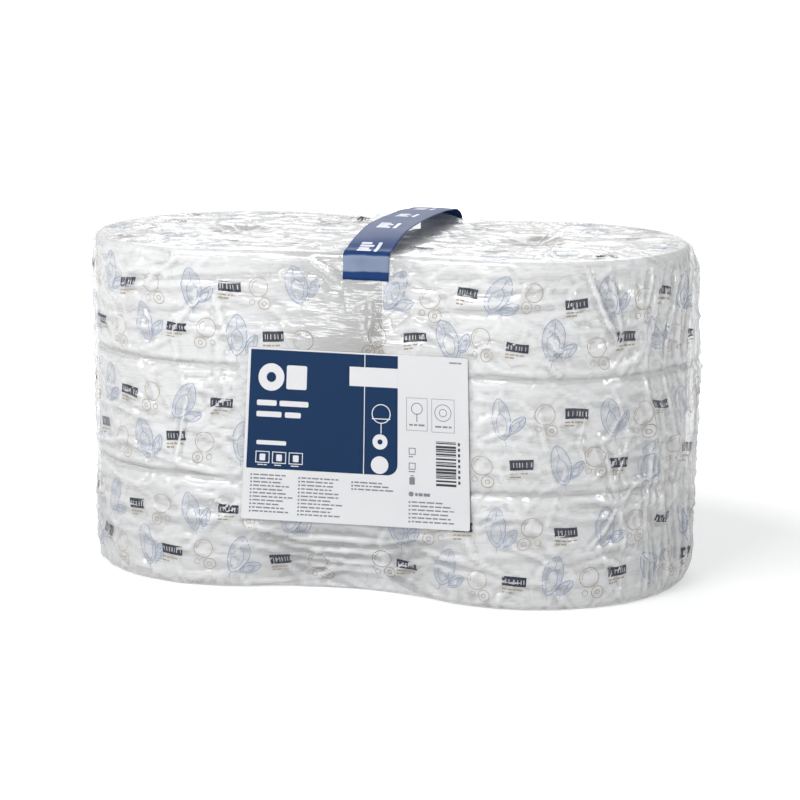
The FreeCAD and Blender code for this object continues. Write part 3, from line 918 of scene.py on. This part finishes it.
class FilmSurface:
    """The built film, as a surface to lay print on."""

    def __init__(self, film):
        places = [vert.co / MM for vert in film.data.vertices]
        self.tree = BVHTree.FromPolygons(places, [face.vertices[:] for face in film.data.polygons])

    def meet(self, start, ray):
        """Where a ray meets the film, raised a little."""
        spot = self.tree.ray_cast(start, ray)[0]
        if spot is None:
            raise RuntimeError("print lies off the film")
        return spot - ray * PRINT_LIFT

    def on_wall(self, u, v):
        """A place on the walls, with the print drawn out of shape by the film's pull."""
        gather = float(gathered_share(u))
        pull_u = pull(u, v, 26, 34, 1.0) * (2.5 + 8.0 * gather)
        pull_v = pull(u, v, 30, 24, 7.0) * (2.0 + 6.0 * gather)
        v = min(max(v + pull_v, 4.0), PACK_HEIGHT - 4.0)
        start, out = outline_point(u + pull_u, v, FILM_RADIUS + 25)
        return self.meet(start, -out)

    def on_top(self, x, y):
        """A place on the top, with the print drawn out of shape by the film's pull."""
        spot = Vector((x + pull(x, y, 28, 28, 3.0) * 5, y, PACK_HEIGHT + 25))
        spot.y += pull(x, y, 28, 28, 5.0) * 5
        spine = Vector((min(max(spot.x, -STACK_X), STACK_X), 0, spot.z))
        share = min(1.0, (FILM_RADIUS - RIM_INSET - 0.5) / max((spot - spine).length, 1.0))
        return self.meet(spine.lerp(spot, share), Vector((0, 0, -1)))


def spots_at(site, shape):
    """Places of a shape that stands at a site (across, up, tilt)."""
    across, up, tilt = site
    cos, sin = math.cos(tilt), math.sin(tilt)
    return [Vector((across + x * cos - y * sin, up + x * sin + y * cos, 0)) for x, y in shape]


def add_band(bm, spots, width, tone=0):
    """A flat strip along a line of places. The width may be a list with one for each place."""
    count = len(spots) - 1
    made = bmesh.ops.create_grid(bm, x_segments=count, y_segments=1, size=0.5)
    for vert in made["verts"]:
        index = round((vert.co.x + 0.5) * count)
        side = 0.5 if vert.co.y > 0 else -0.5
        run = (spots[min(index + 1, count)] - spots[max(index - 1, 0)]).normalized()
        reach = width[index] if isinstance(width, list) else width
        vert.co = spots[index] + Vector((-run.y, run.x, 0)) * side * reach
        for face in vert.link_faces:
            face.material_index = tone


def arc(x, y, radius, start, end, count):
    """Places along an arc, with its angles in degrees."""
    turns = [math.radians(start + (end - start) * step / count) for step in range(count + 1)]
    return [(x + radius * math.cos(turn), y + radius * math.sin(turn)) for turn in turns]


def draw_bar(bm, site, source):
    """A dark bar with a broken pale line through it."""
    half = BAR_WIDTH / 2
    for up, line in ((BAR_HEIGHT * 0.36, 2.3), (-BAR_HEIGHT * 0.38, 1.9)):
        add_band(bm, spots_at(site, [(half * (step / 4 - 1), up) for step in range(9)]), line)
    left = -half
    while left < half - 0.6:
        width = min(source.choice((1.4, 2.0, 2.8)), half - left)
        block = [(left + width / 2, up) for up in (-2.2, 0.0, 1.9)]
        add_band(bm, spots_at(site, block), width)
        left += width + source.choice((0.7, 1.0))


def draw_lines(bm, site, source):
    """Two short broken lines below a bar."""
    for up, reach in ((-BAR_HEIGHT * 0.85, 15.0), (-BAR_HEIGHT * 1.2, 7.0)):
        left = -BAR_WIDTH / 2
        while left < reach - BAR_WIDTH / 2:
            word = source.uniform(2.0, 4.5)
            add_band(bm, spots_at(site, [(left, up), (left + word / 2, up), (left + word, up)]), 1.3)
            left += word + 0.8


def draw_petal(bm, site, length):
    """A pointed petal with a smaller one inside it, and a paler tone."""
    for share, down, line in ((1.0, 0.0, 0.6), (0.55, 0.12, 0.5)):
        half = length / 2 * share
        heights = [half * math.cos(math.pi * step / 16) - down * length for step in range(17)]
        reach = [0.5 * half * math.sin(math.pi * step / 16) ** 1.3 for step in range(17)]
        for side in (-1, 1):
            add_band(bm, spots_at(site, [(side * x, up) for x, up in zip(reach, heights)]), line)
        if share == 1.0:
            add_band(bm, spots_at(site, [(0, up) for up in heights]), [2 * x for x in reach], tone=1)
    add_band(bm, spots_at(site, [(0, length * (0.42 - 0.28 * step / 4)) for step in range(5)]), 0.5)
    add_band(bm, spots_at(site, [(0, -length * (0.5 + 0.16 * step / 3)) for step in range(4)]), 0.5)


def draw_petals(bm, site, source):
    """A large petal with a small one beside it."""
    across, up, tilt = site
    tilt += source.uniform(-0.45, 0.45)
    site = (across, up, tilt)
    draw_petal(bm, site, PETAL_LENGTH)
    spot = spots_at(site, [(PETAL_LENGTH * 0.36, -PETAL_LENGTH * 0.22)])[0]
    draw_petal(bm, (spot.x, spot.y, tilt - source.uniform(0.5, 0.9)), PETAL_LENGTH * 0.5)


def draw_rings(bm, site, source):
    """A loose group of rings."""
    tail = source.choice((-1, 1))
    add_band(bm, spots_at(site, arc(0, 0, RING_RADIUS - 0.4, 0, 360, 28)), 0.6)
    add_band(bm, spots_at(site, arc(0, 0, RING_RADIUS - 2.6, 110, 190, 8)), 0.5)
    add_band(bm, spots_at(site, arc(tail * 6.0, -13.0, 4.9, 0, 360, 20)), 0.6)
    add_band(bm, spots_at(site, arc(tail * 6.0, -13.0, 1.7, 0, 360, 10)), 0.6)
    add_band(bm, spots_at(site, arc(-tail * 4.5, -12.5, 2.4, 0, 360, 12)), 0.5)


def wall_sites(shift, source):
    """Places of one kind of print on the walls, in rows that are shifted by half a pitch in turn."""
    first = STACK_X + PETAL_LENGTH / 2
    sites = []
    for row in range(PRINT_ROWS_PER_ROLL * ROLL_LEVELS):
        level, part = divmod(row, PRINT_ROWS_PER_ROLL)
        share = (part + 0.75) / (PRINT_ROWS_PER_ROLL + 0.5)
        height = FILM_FLOOR + ROLL_WIDTH * (level + share)
        start = first + (shift + (0.5 if row % 2 else 0.0)) * PRINT_PITCH
        for count in range(-3, 8):
            away = start + count * PRINT_PITCH
            if not MIDDLE_GAP < away < HALF_WRAP - MIDDLE_GAP:
                continue
            for side in (-1, 1):
                shift_u, shift_v = source.uniform(-5, 5), source.uniform(-5, 5)
                site = (side * away + shift_u, height + shift_v, source.uniform(-0.10, 0.10))
                if not is_covered(site[0], site[1]):
                    sites.append(site)
    return sites


def is_covered(u, v):
    """Whether print at a place would lie under the label or the strap."""
    under_label = beyond_box(u, v, label_low.x, label_high.x, LABEL_FOOT, LABEL_TOP) < -12
    under_strap = abs(u - STRAP_FRONT_X) < STRAP_WIDTH / 2 and v > strap_low.z - 6
    return under_label or under_strap


def top_sites(first_turn, source):
    """Places of one kind of print on the top, in two circles round each core."""
    sites = []
    circles = (((CORE_BORE_RADIUS + ROLL_RADIUS) / 2, 3, 0), (ROLL_RADIUS * 0.86, 4, 25))
    for reach, count, skew in circles:
        for place in range(count):
            turn = math.radians(first_turn + 360 * place / count + skew)
            for side in (-1, 1):
                x = side * (STACK_X + reach * math.cos(turn))
                y = reach * math.sin(turn)
                if abs(x) > CLEAR_OF_STRAP:
                    sites.append((x, y, source.uniform(-0.5, 0.5)))
    return sites


def build_print(name, draw, sites, surface, finishes):
    """One colour of the film's print, drawn at its sites and laid on the walls and the top."""
    source = random.Random(name)
    bm = bmesh.new()
    laid = set()
    for spots, place in zip(sites, (surface.on_wall, surface.on_top)):
        for site in spots:
            draw(bm, site, source)
        fresh = [vert for vert in bm.verts if vert not in laid]
        for vert in fresh:
            vert.co = place(vert.co.x, vert.co.y) * MM
        laid.update(fresh)
    piece = as_object(bm, name, finishes[0])
    for finish in finishes[1:]:
        piece.data.materials.append(finish)
    return piece


# Strap


def strap_route():
    """Side view of the strap's underside, as places (y, z) from the front tail to the back tail."""
    rise = strap_high.z - PACK_HEIGHT - 0.7
    heights = (strap_low.z, PACK_HEIGHT - STRAP_SEAT)
    front = [-film_front(STRAP_FRONT_X + STRAP_WIDTH / 2, z, FILM_RADIUS) - 0.5 for z in heights]
    back = [film_front(STRAP_BACK_X + STRAP_WIDTH / 2, z, FILM_RADIUS) + 0.5 for z in heights]
    bow = (
        (-0.83, 0.2), (-0.74, 0.43), (-0.63, 0.65), (-0.43, 0.9),
        (-0.12, 1.0), (0.25, 0.98), (0.6, 0.84), (0.81, 0.6),
    )
    route = list(zip(front, heights)) + [(front[1] + 1.5, PACK_HEIGHT)]
    route += [(reach * FILM_RADIUS, PACK_HEIGHT + share * rise) for reach, share in bow]
    route += [(back[1] - 1.5, PACK_HEIGHT)] + list(zip(back, heights))[::-1]
    return [Vector((0, y, z)) for y, z in route]


class StrapPath:
    """The strap's line with its length, so that print can be laid along it."""

    def __init__(self):
        bow = bpy.data.curves.new("strap_line", "CURVE")
        bow.dimensions = "3D"
        bow.resolution_u = 10
        spline = bow.splines.new("BEZIER")
        route = strap_route()
        spline.bezier_points.add(len(route) - 1)
        for knot, spot in zip(spline.bezier_points, route):
            knot.co = spot
            knot.handle_left_type = "AUTO"
            knot.handle_right_type = "AUTO"
        holder = bpy.data.objects.new("strap_line", bow)
        bpy.context.scene.collection.objects.link(holder)
        bpy.context.view_layer.update()
        line = bpy.data.meshes.new_from_object(holder)
        self.spots = [vert.co.copy() for vert in line.vertices]
        bpy.data.objects.remove(holder)
        bpy.data.curves.remove(bow)
        bpy.data.meshes.remove(line)
        self.along = [0.0]
        for before, after in zip(self.spots, self.spots[1:]):
            self.along.append(self.along[-1] + (after - before).length)

    @property
    def length(self):
        return self.along[-1]

    def place(self, across, along, lift):
        """Point of the strap at a distance across it, along it and above its underside."""
        along = min(max(along, 0.0), self.length - 1e-4)
        index = max(i for i, done in enumerate(self.along[:-1]) if done <= along)
        before, after = self.spots[index], self.spots[index + 1]
        share = (along - self.along[index]) / (self.along[index + 1] - self.along[index])
        spot = before.lerp(after, share)
        run = (after - before).normalized()
        up = Vector((0, -run.z, run.y))
        middle = 4 * along * (self.length - along) / self.length ** 2
        camber = STRAP_CAMBER * middle * (1 - (2 * across / STRAP_WIDTH) ** 2)
        ripple = noise.noise(Vector((across * 0.03, along * 0.035, 2.0))) * STRAP_RIPPLE * middle
        point = spot + up * (lift + camber + ripple)
        slant = (STRAP_BACK_X - STRAP_FRONT_X) / (2 * FILM_RADIUS)
        point.x = STRAP_FRONT_X + slant * (point.y + FILM_RADIUS) + across
        stuck = 1 - float(smooth_step(PACK_HEIGHT - 10, PACK_HEIGHT - 3, spot.z))
        if stuck > 0:
            reach = film_front(point.x, min(point.z, PACK_HEIGHT), FILM_RADIUS) + 0.4 + lift
            point.y += stuck * (math.copysign(reach, point.y) - point.y)
        return point


def build_strap(settings, path):
    """The strap's tape: a flat strip cut into squares, laid along its line."""
    bm = bmesh.new()
    add_rectangle(bm, -STRAP_WIDTH / 2, 0.0, STRAP_WIDTH, path.length)
    cut_into_squares(bm, STRAP_SQUARE)
    thicken(bm, settings.thickness / MM)
    tape = bm.loops.layers.uv.new("tape")
    for face in bm.faces:
        for loop in face.loops:
            loop[tape].uv = (loop.vert.co.x * MM, loop.vert.co.y * MM)
    lie_on(bm, path.place)
    return as_object(bm, "strap_band", strap_finish(settings))


def build_strap_marks(settings, path):
    """Plain white signs along the strap: a short block of bars with a line beside it."""
    bm = bmesh.new()
    for count in range(STRAP_MARK_COUNT):
        start = 25.0 + count * STRAP_MARK_PITCH
        for bar in range(4):
            add_rectangle(bm, -9.5, start + bar * 5.0, 12.0 - (bar % 2) * 3.0, 3.8, corner=0.7)
        add_rectangle(bm, 5.0, start - 0.5, 3.0, 20.0, corner=0.9)
    cut_into_squares(bm, STRAP_MARK_SQUARE)
    thicken(bm, 0.06)
    bmesh.ops.translate(bm, vec=(0, 0, settings.thickness / MM + 0.04), verts=bm.verts[:])
    lie_on(bm, path.place)
    white = print_finish("strap_white", (0.70, 0.73, 0.80), 0.4)
    return as_object(bm, "strap_signs", white, crisp=True)


# Label. Places on it are millimetres from its top left corner.

# How far each corner is pulled out of square, sideways and upwards
LABEL_CORNERS = {
    "top_left": (4.0, 0.0),
    "top_right": (-1.5, 0.3),
    "foot_right": (1.5, 1.5),
    "foot_left": (-4.5, -1.5),
}


def label_place(across, up, lift):
    """Point of the label, drawn a little out of square by the film's pull, and slightly wavy."""
    share = across / LABEL_WIDTH
    down = -up / LABEL_HEIGHT
    shift = Vector((0.0, 0.0))
    for name, (sideways, upward) in LABEL_CORNERS.items():
        weight = 1 - share if name.endswith("left") else share
        weight *= 1 - down if name.startswith("top") else down
        shift += Vector((sideways, upward)) * weight
    wave = noise.noise(Vector((across * 0.016, up * 0.022, 4.0))) * 0.9
    edge = max(0.0, down - 0.9) * 9 + max(0.0, share - 0.93) * 10
    out = lift + 0.25 + 0.45 * (wave + 0.5) + edge
    return Vector((label_low.x + across + shift.x, -FILM_RADIUS - out, LABEL_TOP + up + shift.y))


def label_piece(name, material, draw, layer, thickness=0.05):
    """A printed or cut piece of the label, drawn flat and laid on it."""
    bm = bmesh.new()
    draw(bm)
    cut_into_squares(bm, LABEL_SQUARE)
    thicken(bm, thickness)
    bmesh.ops.translate(bm, vec=(0, 0, layer), verts=bm.verts[:])
    lie_on(bm, label_place)
    return as_object(bm, name, material, crisp=True)


def draw_sheet(bm):
    add_rectangle(bm, 0.0, -LABEL_HEIGHT, LABEL_WIDTH, LABEL_HEIGHT, corner=2.0)


def draw_field(bm):
    """The dark field, with one large round corner at its lower right."""
    add_rectangle(bm, PANEL_LEFT, -PANEL_DOWN - PANEL_HEIGHT, PANEL_WIDTH, PANEL_HEIGHT)
    corner = [vert for vert in bm.verts if vert.co.x > PANEL_WIDTH / 2 and vert.co.y < -PANEL_HEIGHT / 2]
    round_corners(bm, corner, 9.0, 10)


def add_words(bm, left, down, width, line, source, gap=1.0):
    """A line of short bars in place of words."""
    place = left
    while place < left + width - 2.0:
        word = min(source.uniform(2.0, 7.0), left + width - place)
        add_rectangle(bm, place, -down - line, word, line)
        place += word + gap


def draw_white_marks(bm):
    """Plain white shapes on the dark field: an upright line broken by a plate, then signs and bars."""
    right = PANEL_LEFT + PANEL_WIDTH
    foot = PANEL_DOWN + PANEL_HEIGHT
    line_x, line_width = 103.4, 0.7
    plate_left, plate_top, plate_foot = 90.5, 11.8, 27.8
    source = random.Random(5)
    add_rectangle(bm, line_x, -plate_top, line_width, plate_top - PANEL_DOWN)
    add_rectangle(bm, line_x, -foot, line_width, foot - plate_foot)
    add_rectangle(bm, plate_left, -plate_foot, right - plate_left, plate_foot - plate_top)
    add_disc(bm, 21.5, -24.0, 11.5, hole=4.2)
    add_rectangle(bm, 35.0, -33.5, 18.0, 20.0, corner=1.5)
    for left, width in ((9.5, 17.5), (29.5, 25.5)):
        add_rectangle(bm, left, -48.0, width, 4.6, corner=1.2)
    for left, width in ((9.5, 22.0), (34.5, 14.0)):
        add_rectangle(bm, left, -57.5, width, 4.6, corner=1.2)
    add_rectangle(bm, 10.5, -81.0, 26.0, 3.6, corner=1.0)
    for place in range(3):
        left = 10.2 + 14.5 * place
        add_frame(bm, left, -96.5, 12.2, 10.0, 0.7)
        add_rectangle(bm, left + 3.6, -94.4, 5.0, 5.6, corner=0.8)
        add_words(bm, left + 2.0, 97.6, 8.0, 0.8, source, 0.5)
    add_disc(bm, 118.3, -50.0, 8.2, hole=7.4)
    add_rectangle(bm, 110.3, -54.6, 16.0, 0.8)
    add_rectangle(bm, 117.9, -66.5, 0.8, 8.3)
    add_disc(bm, 117.5, -73.5, 6.4, hole=2.2)
    add_disc(bm, 117.4, -93.0, 7.4)


def draw_grey_marks(bm):
    """Grey bars in place of small print, and outlined boxes with plain signs."""
    source = random.Random(11)
    for left, down, width, rows, pitch in (
        (6.5, 106.0, 37.0, 11, 3.1),
        (48.0, 107.0, 40.0, 11, 3.1),
        (93.5, 108.0, 36.0, 3, 2.9),
        (142.0, 122.0, 41.0, 6, 3.3),
    ):
        for row in range(rows):
            reach = width * source.uniform(0.68, 1.0)
            add_rectangle(bm, left, -down - row * pitch - 1.5, 1.5, 1.5)
            add_words(bm, left + 2.6, down + row * pitch, reach - 2.6, 1.2, source)
    add_words(bm, 177.0, 4.0, 12.0, 1.2, source, 0.6)
    add_rectangle(bm, 142.0, -118.0, 4.2, 4.2, corner=2.0)
    add_words(bm, 147.5, 114.8, 14.0, 2.6, source, 0.7)
    add_frame(bm, 140.0, -62.5, 18.0, 27.5, 0.35)
    add_frame(bm, 161.5, -63.0, 19.5, 28.0, 0.35)
    add_disc(bm, 149.0, -44.0, 5.0, hole=4.3)
    add_rectangle(bm, 148.6, -55.0, 0.8, 7.0)
    add_words(bm, 142.5, 57.0, 13.0, 1.4, source)
    add_disc(bm, 171.2, -46.5, 7.2, hole=6.6)
    add_disc(bm, 171.2, -46.5, 3.4, hole=2.8)
    add_words(bm, 164.5, 57.5, 14.0, 1.4, source)
    for down in (77.0, 89.5):
        add_frame(bm, 142.0, -down - 5.8, 5.8, 5.8, 0.7)
        add_words(bm, 142.0, down + 7.0, 6.0, 1.0, source, 0.5)
    add_rectangle(bm, 142.6, -108.0, 4.6, 6.4, corner=0.8)
    add_rectangle(bm, 143.6, -101.0, 2.6, 1.0)


def draw_code_bars(bm):
    """Horizontal bars of a code that holds no number."""
    source = random.Random(3)
    down = 70.5
    while down < 108.5:
        width = source.choice((0.5, 0.5, 1.0, 1.0, 1.5, 2.0))
        add_rectangle(bm, 165.0, -down - width, 17.0, width)
        down += width + source.choice((0.5, 0.5, 1.0, 1.5))
    for place in range(8):
        add_rectangle(bm, 183.6, -73.5 - place * 4.6, 1.8, 2.6)


# Operators


class PACK_OT_paper(bpy.types.Operator):
    """Gives the six rolls and their cores the finish of tissue and board"""

    bl_idname = "pack.paper"
    bl_label = "Rolls and Cores"

    def execute(self, context):
        settings = context.scene.pack_paper
        finishes = {"roll_": tissue_finish(settings), "core_": core_finish(settings)}
        for name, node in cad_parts.items():
            for start, finish in finishes.items():
                if name.startswith(start):
                    node.data.materials.clear()
                    node.data.materials.append(finish)
        return {"FINISHED"}


class PACK_OT_film(bpy.types.Operator):
    """Wraps the film round the rolls, with its creases and pleats"""

    bl_idname = "pack.film"
    bl_label = "Film"

    def execute(self, context):
        finish_piece(build_film(context.scene.pack_film), "clear_film", "film_wrap")
        return {"FINISHED"}


class PACK_OT_film_print(bpy.types.Operator):
    """Prints the bars, the petals and the rings on the film"""

    bl_idname = "pack.film_print"
    bl_label = "Film Print"

    def execute(self, context):
        inks = context.scene.pack_ink
        surface = FilmSurface(bpy.data.objects["film_skin"])
        source = random.Random(7)
        bars = wall_sites(0.0, source), top_sites(20, source)
        petals = wall_sites(0.35, source), top_sites(60, source)
        rings = wall_sites(0.7, source), top_sites(100, source)
        bar_ink = ink_finish("ink_bars", inks.bars, 0.95)
        petal_inks = [
            ink_finish("ink_petals", inks.petals, 0.62),
            ink_finish("ink_petal_tone", inks.petals, 0.13),
        ]
        ring_ink = ink_finish("ink_rings", inks.rings, 0.75)
        for name, draw, sites, finishes, slot, *nodes in (
            ("print_bars", draw_bar, bars, [bar_ink], "navy_print", "film_print_bars"),
            ("print_petals", draw_petals, petals, petal_inks, "pale_blue_print", "film_print_petals"),
            ("print_rings", draw_rings, rings, [ring_ink], "tan_print", "film_print_rings"),
            ("print_lines", draw_lines, bars, [ring_ink], "tan_print"),
        ):
            finish_piece(build_print(name, draw, sites, surface, finishes), slot, *nodes)
        return {"FINISHED"}


class PACK_OT_strap(bpy.types.Operator):
    """Lays the carry strap over the top, with its plain signs"""

    bl_idname = "pack.strap"
    bl_label = "Carry Strap"

    def execute(self, context):
        settings = context.scene.pack_strap
        path = StrapPath()
        finish_piece(build_strap(settings, path), "strap_tape", "carry_strap")
        finish_piece(build_strap_marks(settings, path), "white_ink", "strap_marks")
        return {"FINISHED"}


class PACK_OT_label(bpy.types.Operator):
    """Sticks the paper label on the front, with its field, signs and bars"""

    bl_idname = "pack.label"
    bl_label = "Paper Label"

    def execute(self, context):
        settings = context.scene.pack_label
        sheet = settings.thickness / MM
        paper = print_finish("label_paper", settings.paper, 0.42)
        finish_piece(label_piece("label_sheet", paper, draw_sheet, 0.0, sheet), "label_paper", "label")
        navy = print_finish("label_navy", settings.field, 0.45, 0.08)
        white = print_finish("label_white", settings.paper, 0.42)
        grey = print_finish("label_grey", (0.20, 0.21, 0.24))
        dark = print_finish("label_dark", (0.02, 0.022, 0.03))
        for name, finish, draw, lift, slot, node in (
            ("label_field", navy, draw_field, 0.03, "label_navy", "label_colour_field"),
            ("label_signs", white, draw_white_marks, 0.1, "white_ink", "label_white_marks"),
            ("label_small_print", grey, draw_grey_marks, 0.03, "grey_ink", "label_grey_marks"),
            ("label_code", dark, draw_code_bars, 0.03, "dark_ink", "label_code_bars"),
        ):
            finish_piece(label_piece(name, finish, draw, sheet + lift), slot, node)
        return {"FINISHED"}


# Stage

LAMP_TARGET = (0.0, 0.0, 0.15)
CAMERA_TARGET = (0.01067, 0.0, 0.14298)
LAMPS = (
    ("key_light", (-0.35, -1.15, 1.35), (0.9, 0.6), 18.0),
    ("top_light", (0.3, 0.4, 1.6), (1.2, 0.8), 1.5),
    ("front_strip", (-0.75, -2.35, 0.62), (0.9, 0.22), 4.0),
    ("left_strip", (-2.2, -1.2, 0.9), (0.12, 1.5), 6.0),
    ("right_strip", (2.3, -0.9, 0.8), (0.12, 1.5), 10.0),
    ("back_light", (-0.6, 2.2, 1.4), (1.4, 0.8), 11.0),
)


def place_in_scene(name, data, spot, facing):
    """A lamp or camera at a spot, turned to face along a direction."""
    holder = bpy.data.objects.new(name, data)
    bpy.context.scene.collection.objects.link(holder)
    holder.location = spot
    holder.rotation_euler = facing.to_track_quat("-Z", "Y").to_euler()
    return holder


class PACK_OT_stage(bpy.types.Operator):
    """Sets the pale floor, the studio light and the camera"""

    bl_idname = "pack.stage"
    bl_label = "Floor, Light and Camera"

    def execute(self, context):
        scene = context.scene
        self.add_floor()
        self.add_sky(scene)
        for name, spot, (width, height), power in LAMPS:
            lamp = bpy.data.lights.new(name, "AREA")
            lamp.shape = "RECTANGLE"
            lamp.size = width
            lamp.size_y = height
            lamp.energy = power
            place_in_scene(name, lamp, spot, Vector(LAMP_TARGET) - Vector(spot))
        self.add_camera(scene, scene.pack_stage)
        scene.view_settings.view_transform = "Standard"
        return {"FINISHED"}

    def add_floor(self):
        """A pale floor that is white from a little way off, and keeps the pack's shadow."""
        bm = bmesh.new()
        bmesh.ops.create_grid(bm, x_segments=8, y_segments=8, size=25.0)
        finish = new_finish("floor")
        x, y, z = finish.place()
        grain = finish.noise(finish.join(x, y, z), 3.0)
        shade = finish.mix(grain, (0.60, 0.60, 0.605), (0.63, 0.63, 0.63))
        away = ((distance_to(x, y * 1.4) - 0.42) / 0.5).clamped()
        glow = finish.seen_rays() * (0.45 + away * 0.9)
        material = finish.surface(shade, roughness=0.8, emission_color=glow, emission_strength=1.0)
        as_object(bm, "floor", material)

    def add_sky(self, scene):
        """Soft light all round, seen as plain white."""
        scene.world = bpy.data.worlds.new("studio")
        sky = Finish(scene.world)
        soft = {"Color": (0.96, 0.98, 1.0), "Strength": 0.35}
        plain = {"Color": WHITE, "Strength": 1.0}
        light = sky.node("ShaderNodeBackground", inputs=soft)
        white = sky.node("ShaderNodeBackground", inputs=plain)
        mixed = sky.node("ShaderNodeMixShader", inputs={0: sky.seen_rays(), 1: light, 2: white})
        sky.end("ShaderNodeOutputWorld", mixed)

    def add_camera(self, scene, settings):
        data = bpy.data.cameras.new("camera")
        data.lens = settings.lens
        data.sensor_width = 36.0
        flat = math.cos(settings.elevation)
        back = Vector((
            math.sin(settings.azimuth) * flat,
            -math.cos(settings.azimuth) * flat,
            math.sin(settings.elevation),
        ))
        spot = Vector(CAMERA_TARGET) + back * settings.distance
        scene.camera = place_in_scene("camera", data, spot, -back)


# Panel and registration

SECTIONS = (
    ("pack_paper", PaperSettings, PACK_OT_paper),
    ("pack_film", FilmSettings, PACK_OT_film),
    ("pack_ink", InkSettings, PACK_OT_film_print),
    ("pack_strap", StrapSettings, PACK_OT_strap),
    ("pack_label", LabelSettings, PACK_OT_label),
    ("pack_stage", StageSettings, PACK_OT_stage),
)


class PACK_PT_panel(bpy.types.Panel):
    """Lists the makers of the pack's pieces"""

    bl_idname = "PACK_PT_panel"
    bl_label = "Roll Pack"
    bl_space_type = "VIEW_3D"
    bl_region_type = "UI"
    bl_category = "Roll Pack"

    def draw(self, context):
        for name, group, maker in SECTIONS:
            box = self.layout.box()
            settings = getattr(context.scene, name)
            for setting in group.__annotations__:
                box.prop(settings, setting)
            box.operator(maker.bl_idname)


def register():
    for name, group, maker in SECTIONS:
        bpy.utils.register_class(group)
        setattr(bpy.types.Scene, name, bpy.props.PointerProperty(type=group))
        bpy.utils.register_class(maker)
    bpy.utils.register_class(PACK_PT_panel)


def unregister():
    bpy.utils.unregister_class(PACK_PT_panel)
    for name, group, maker in reversed(SECTIONS):
        bpy.utils.unregister_class(maker)
        delattr(bpy.types.Scene, name)
        bpy.utils.unregister_class(group)


def main():
    register()
    bpy.ops.pack.paper()
    bpy.ops.pack.film()
    bpy.ops.pack.film_print()
    bpy.ops.pack.strap()
    bpy.ops.pack.label()
    bpy.ops.pack.stage()


if __name__ == "__main__":
    main()
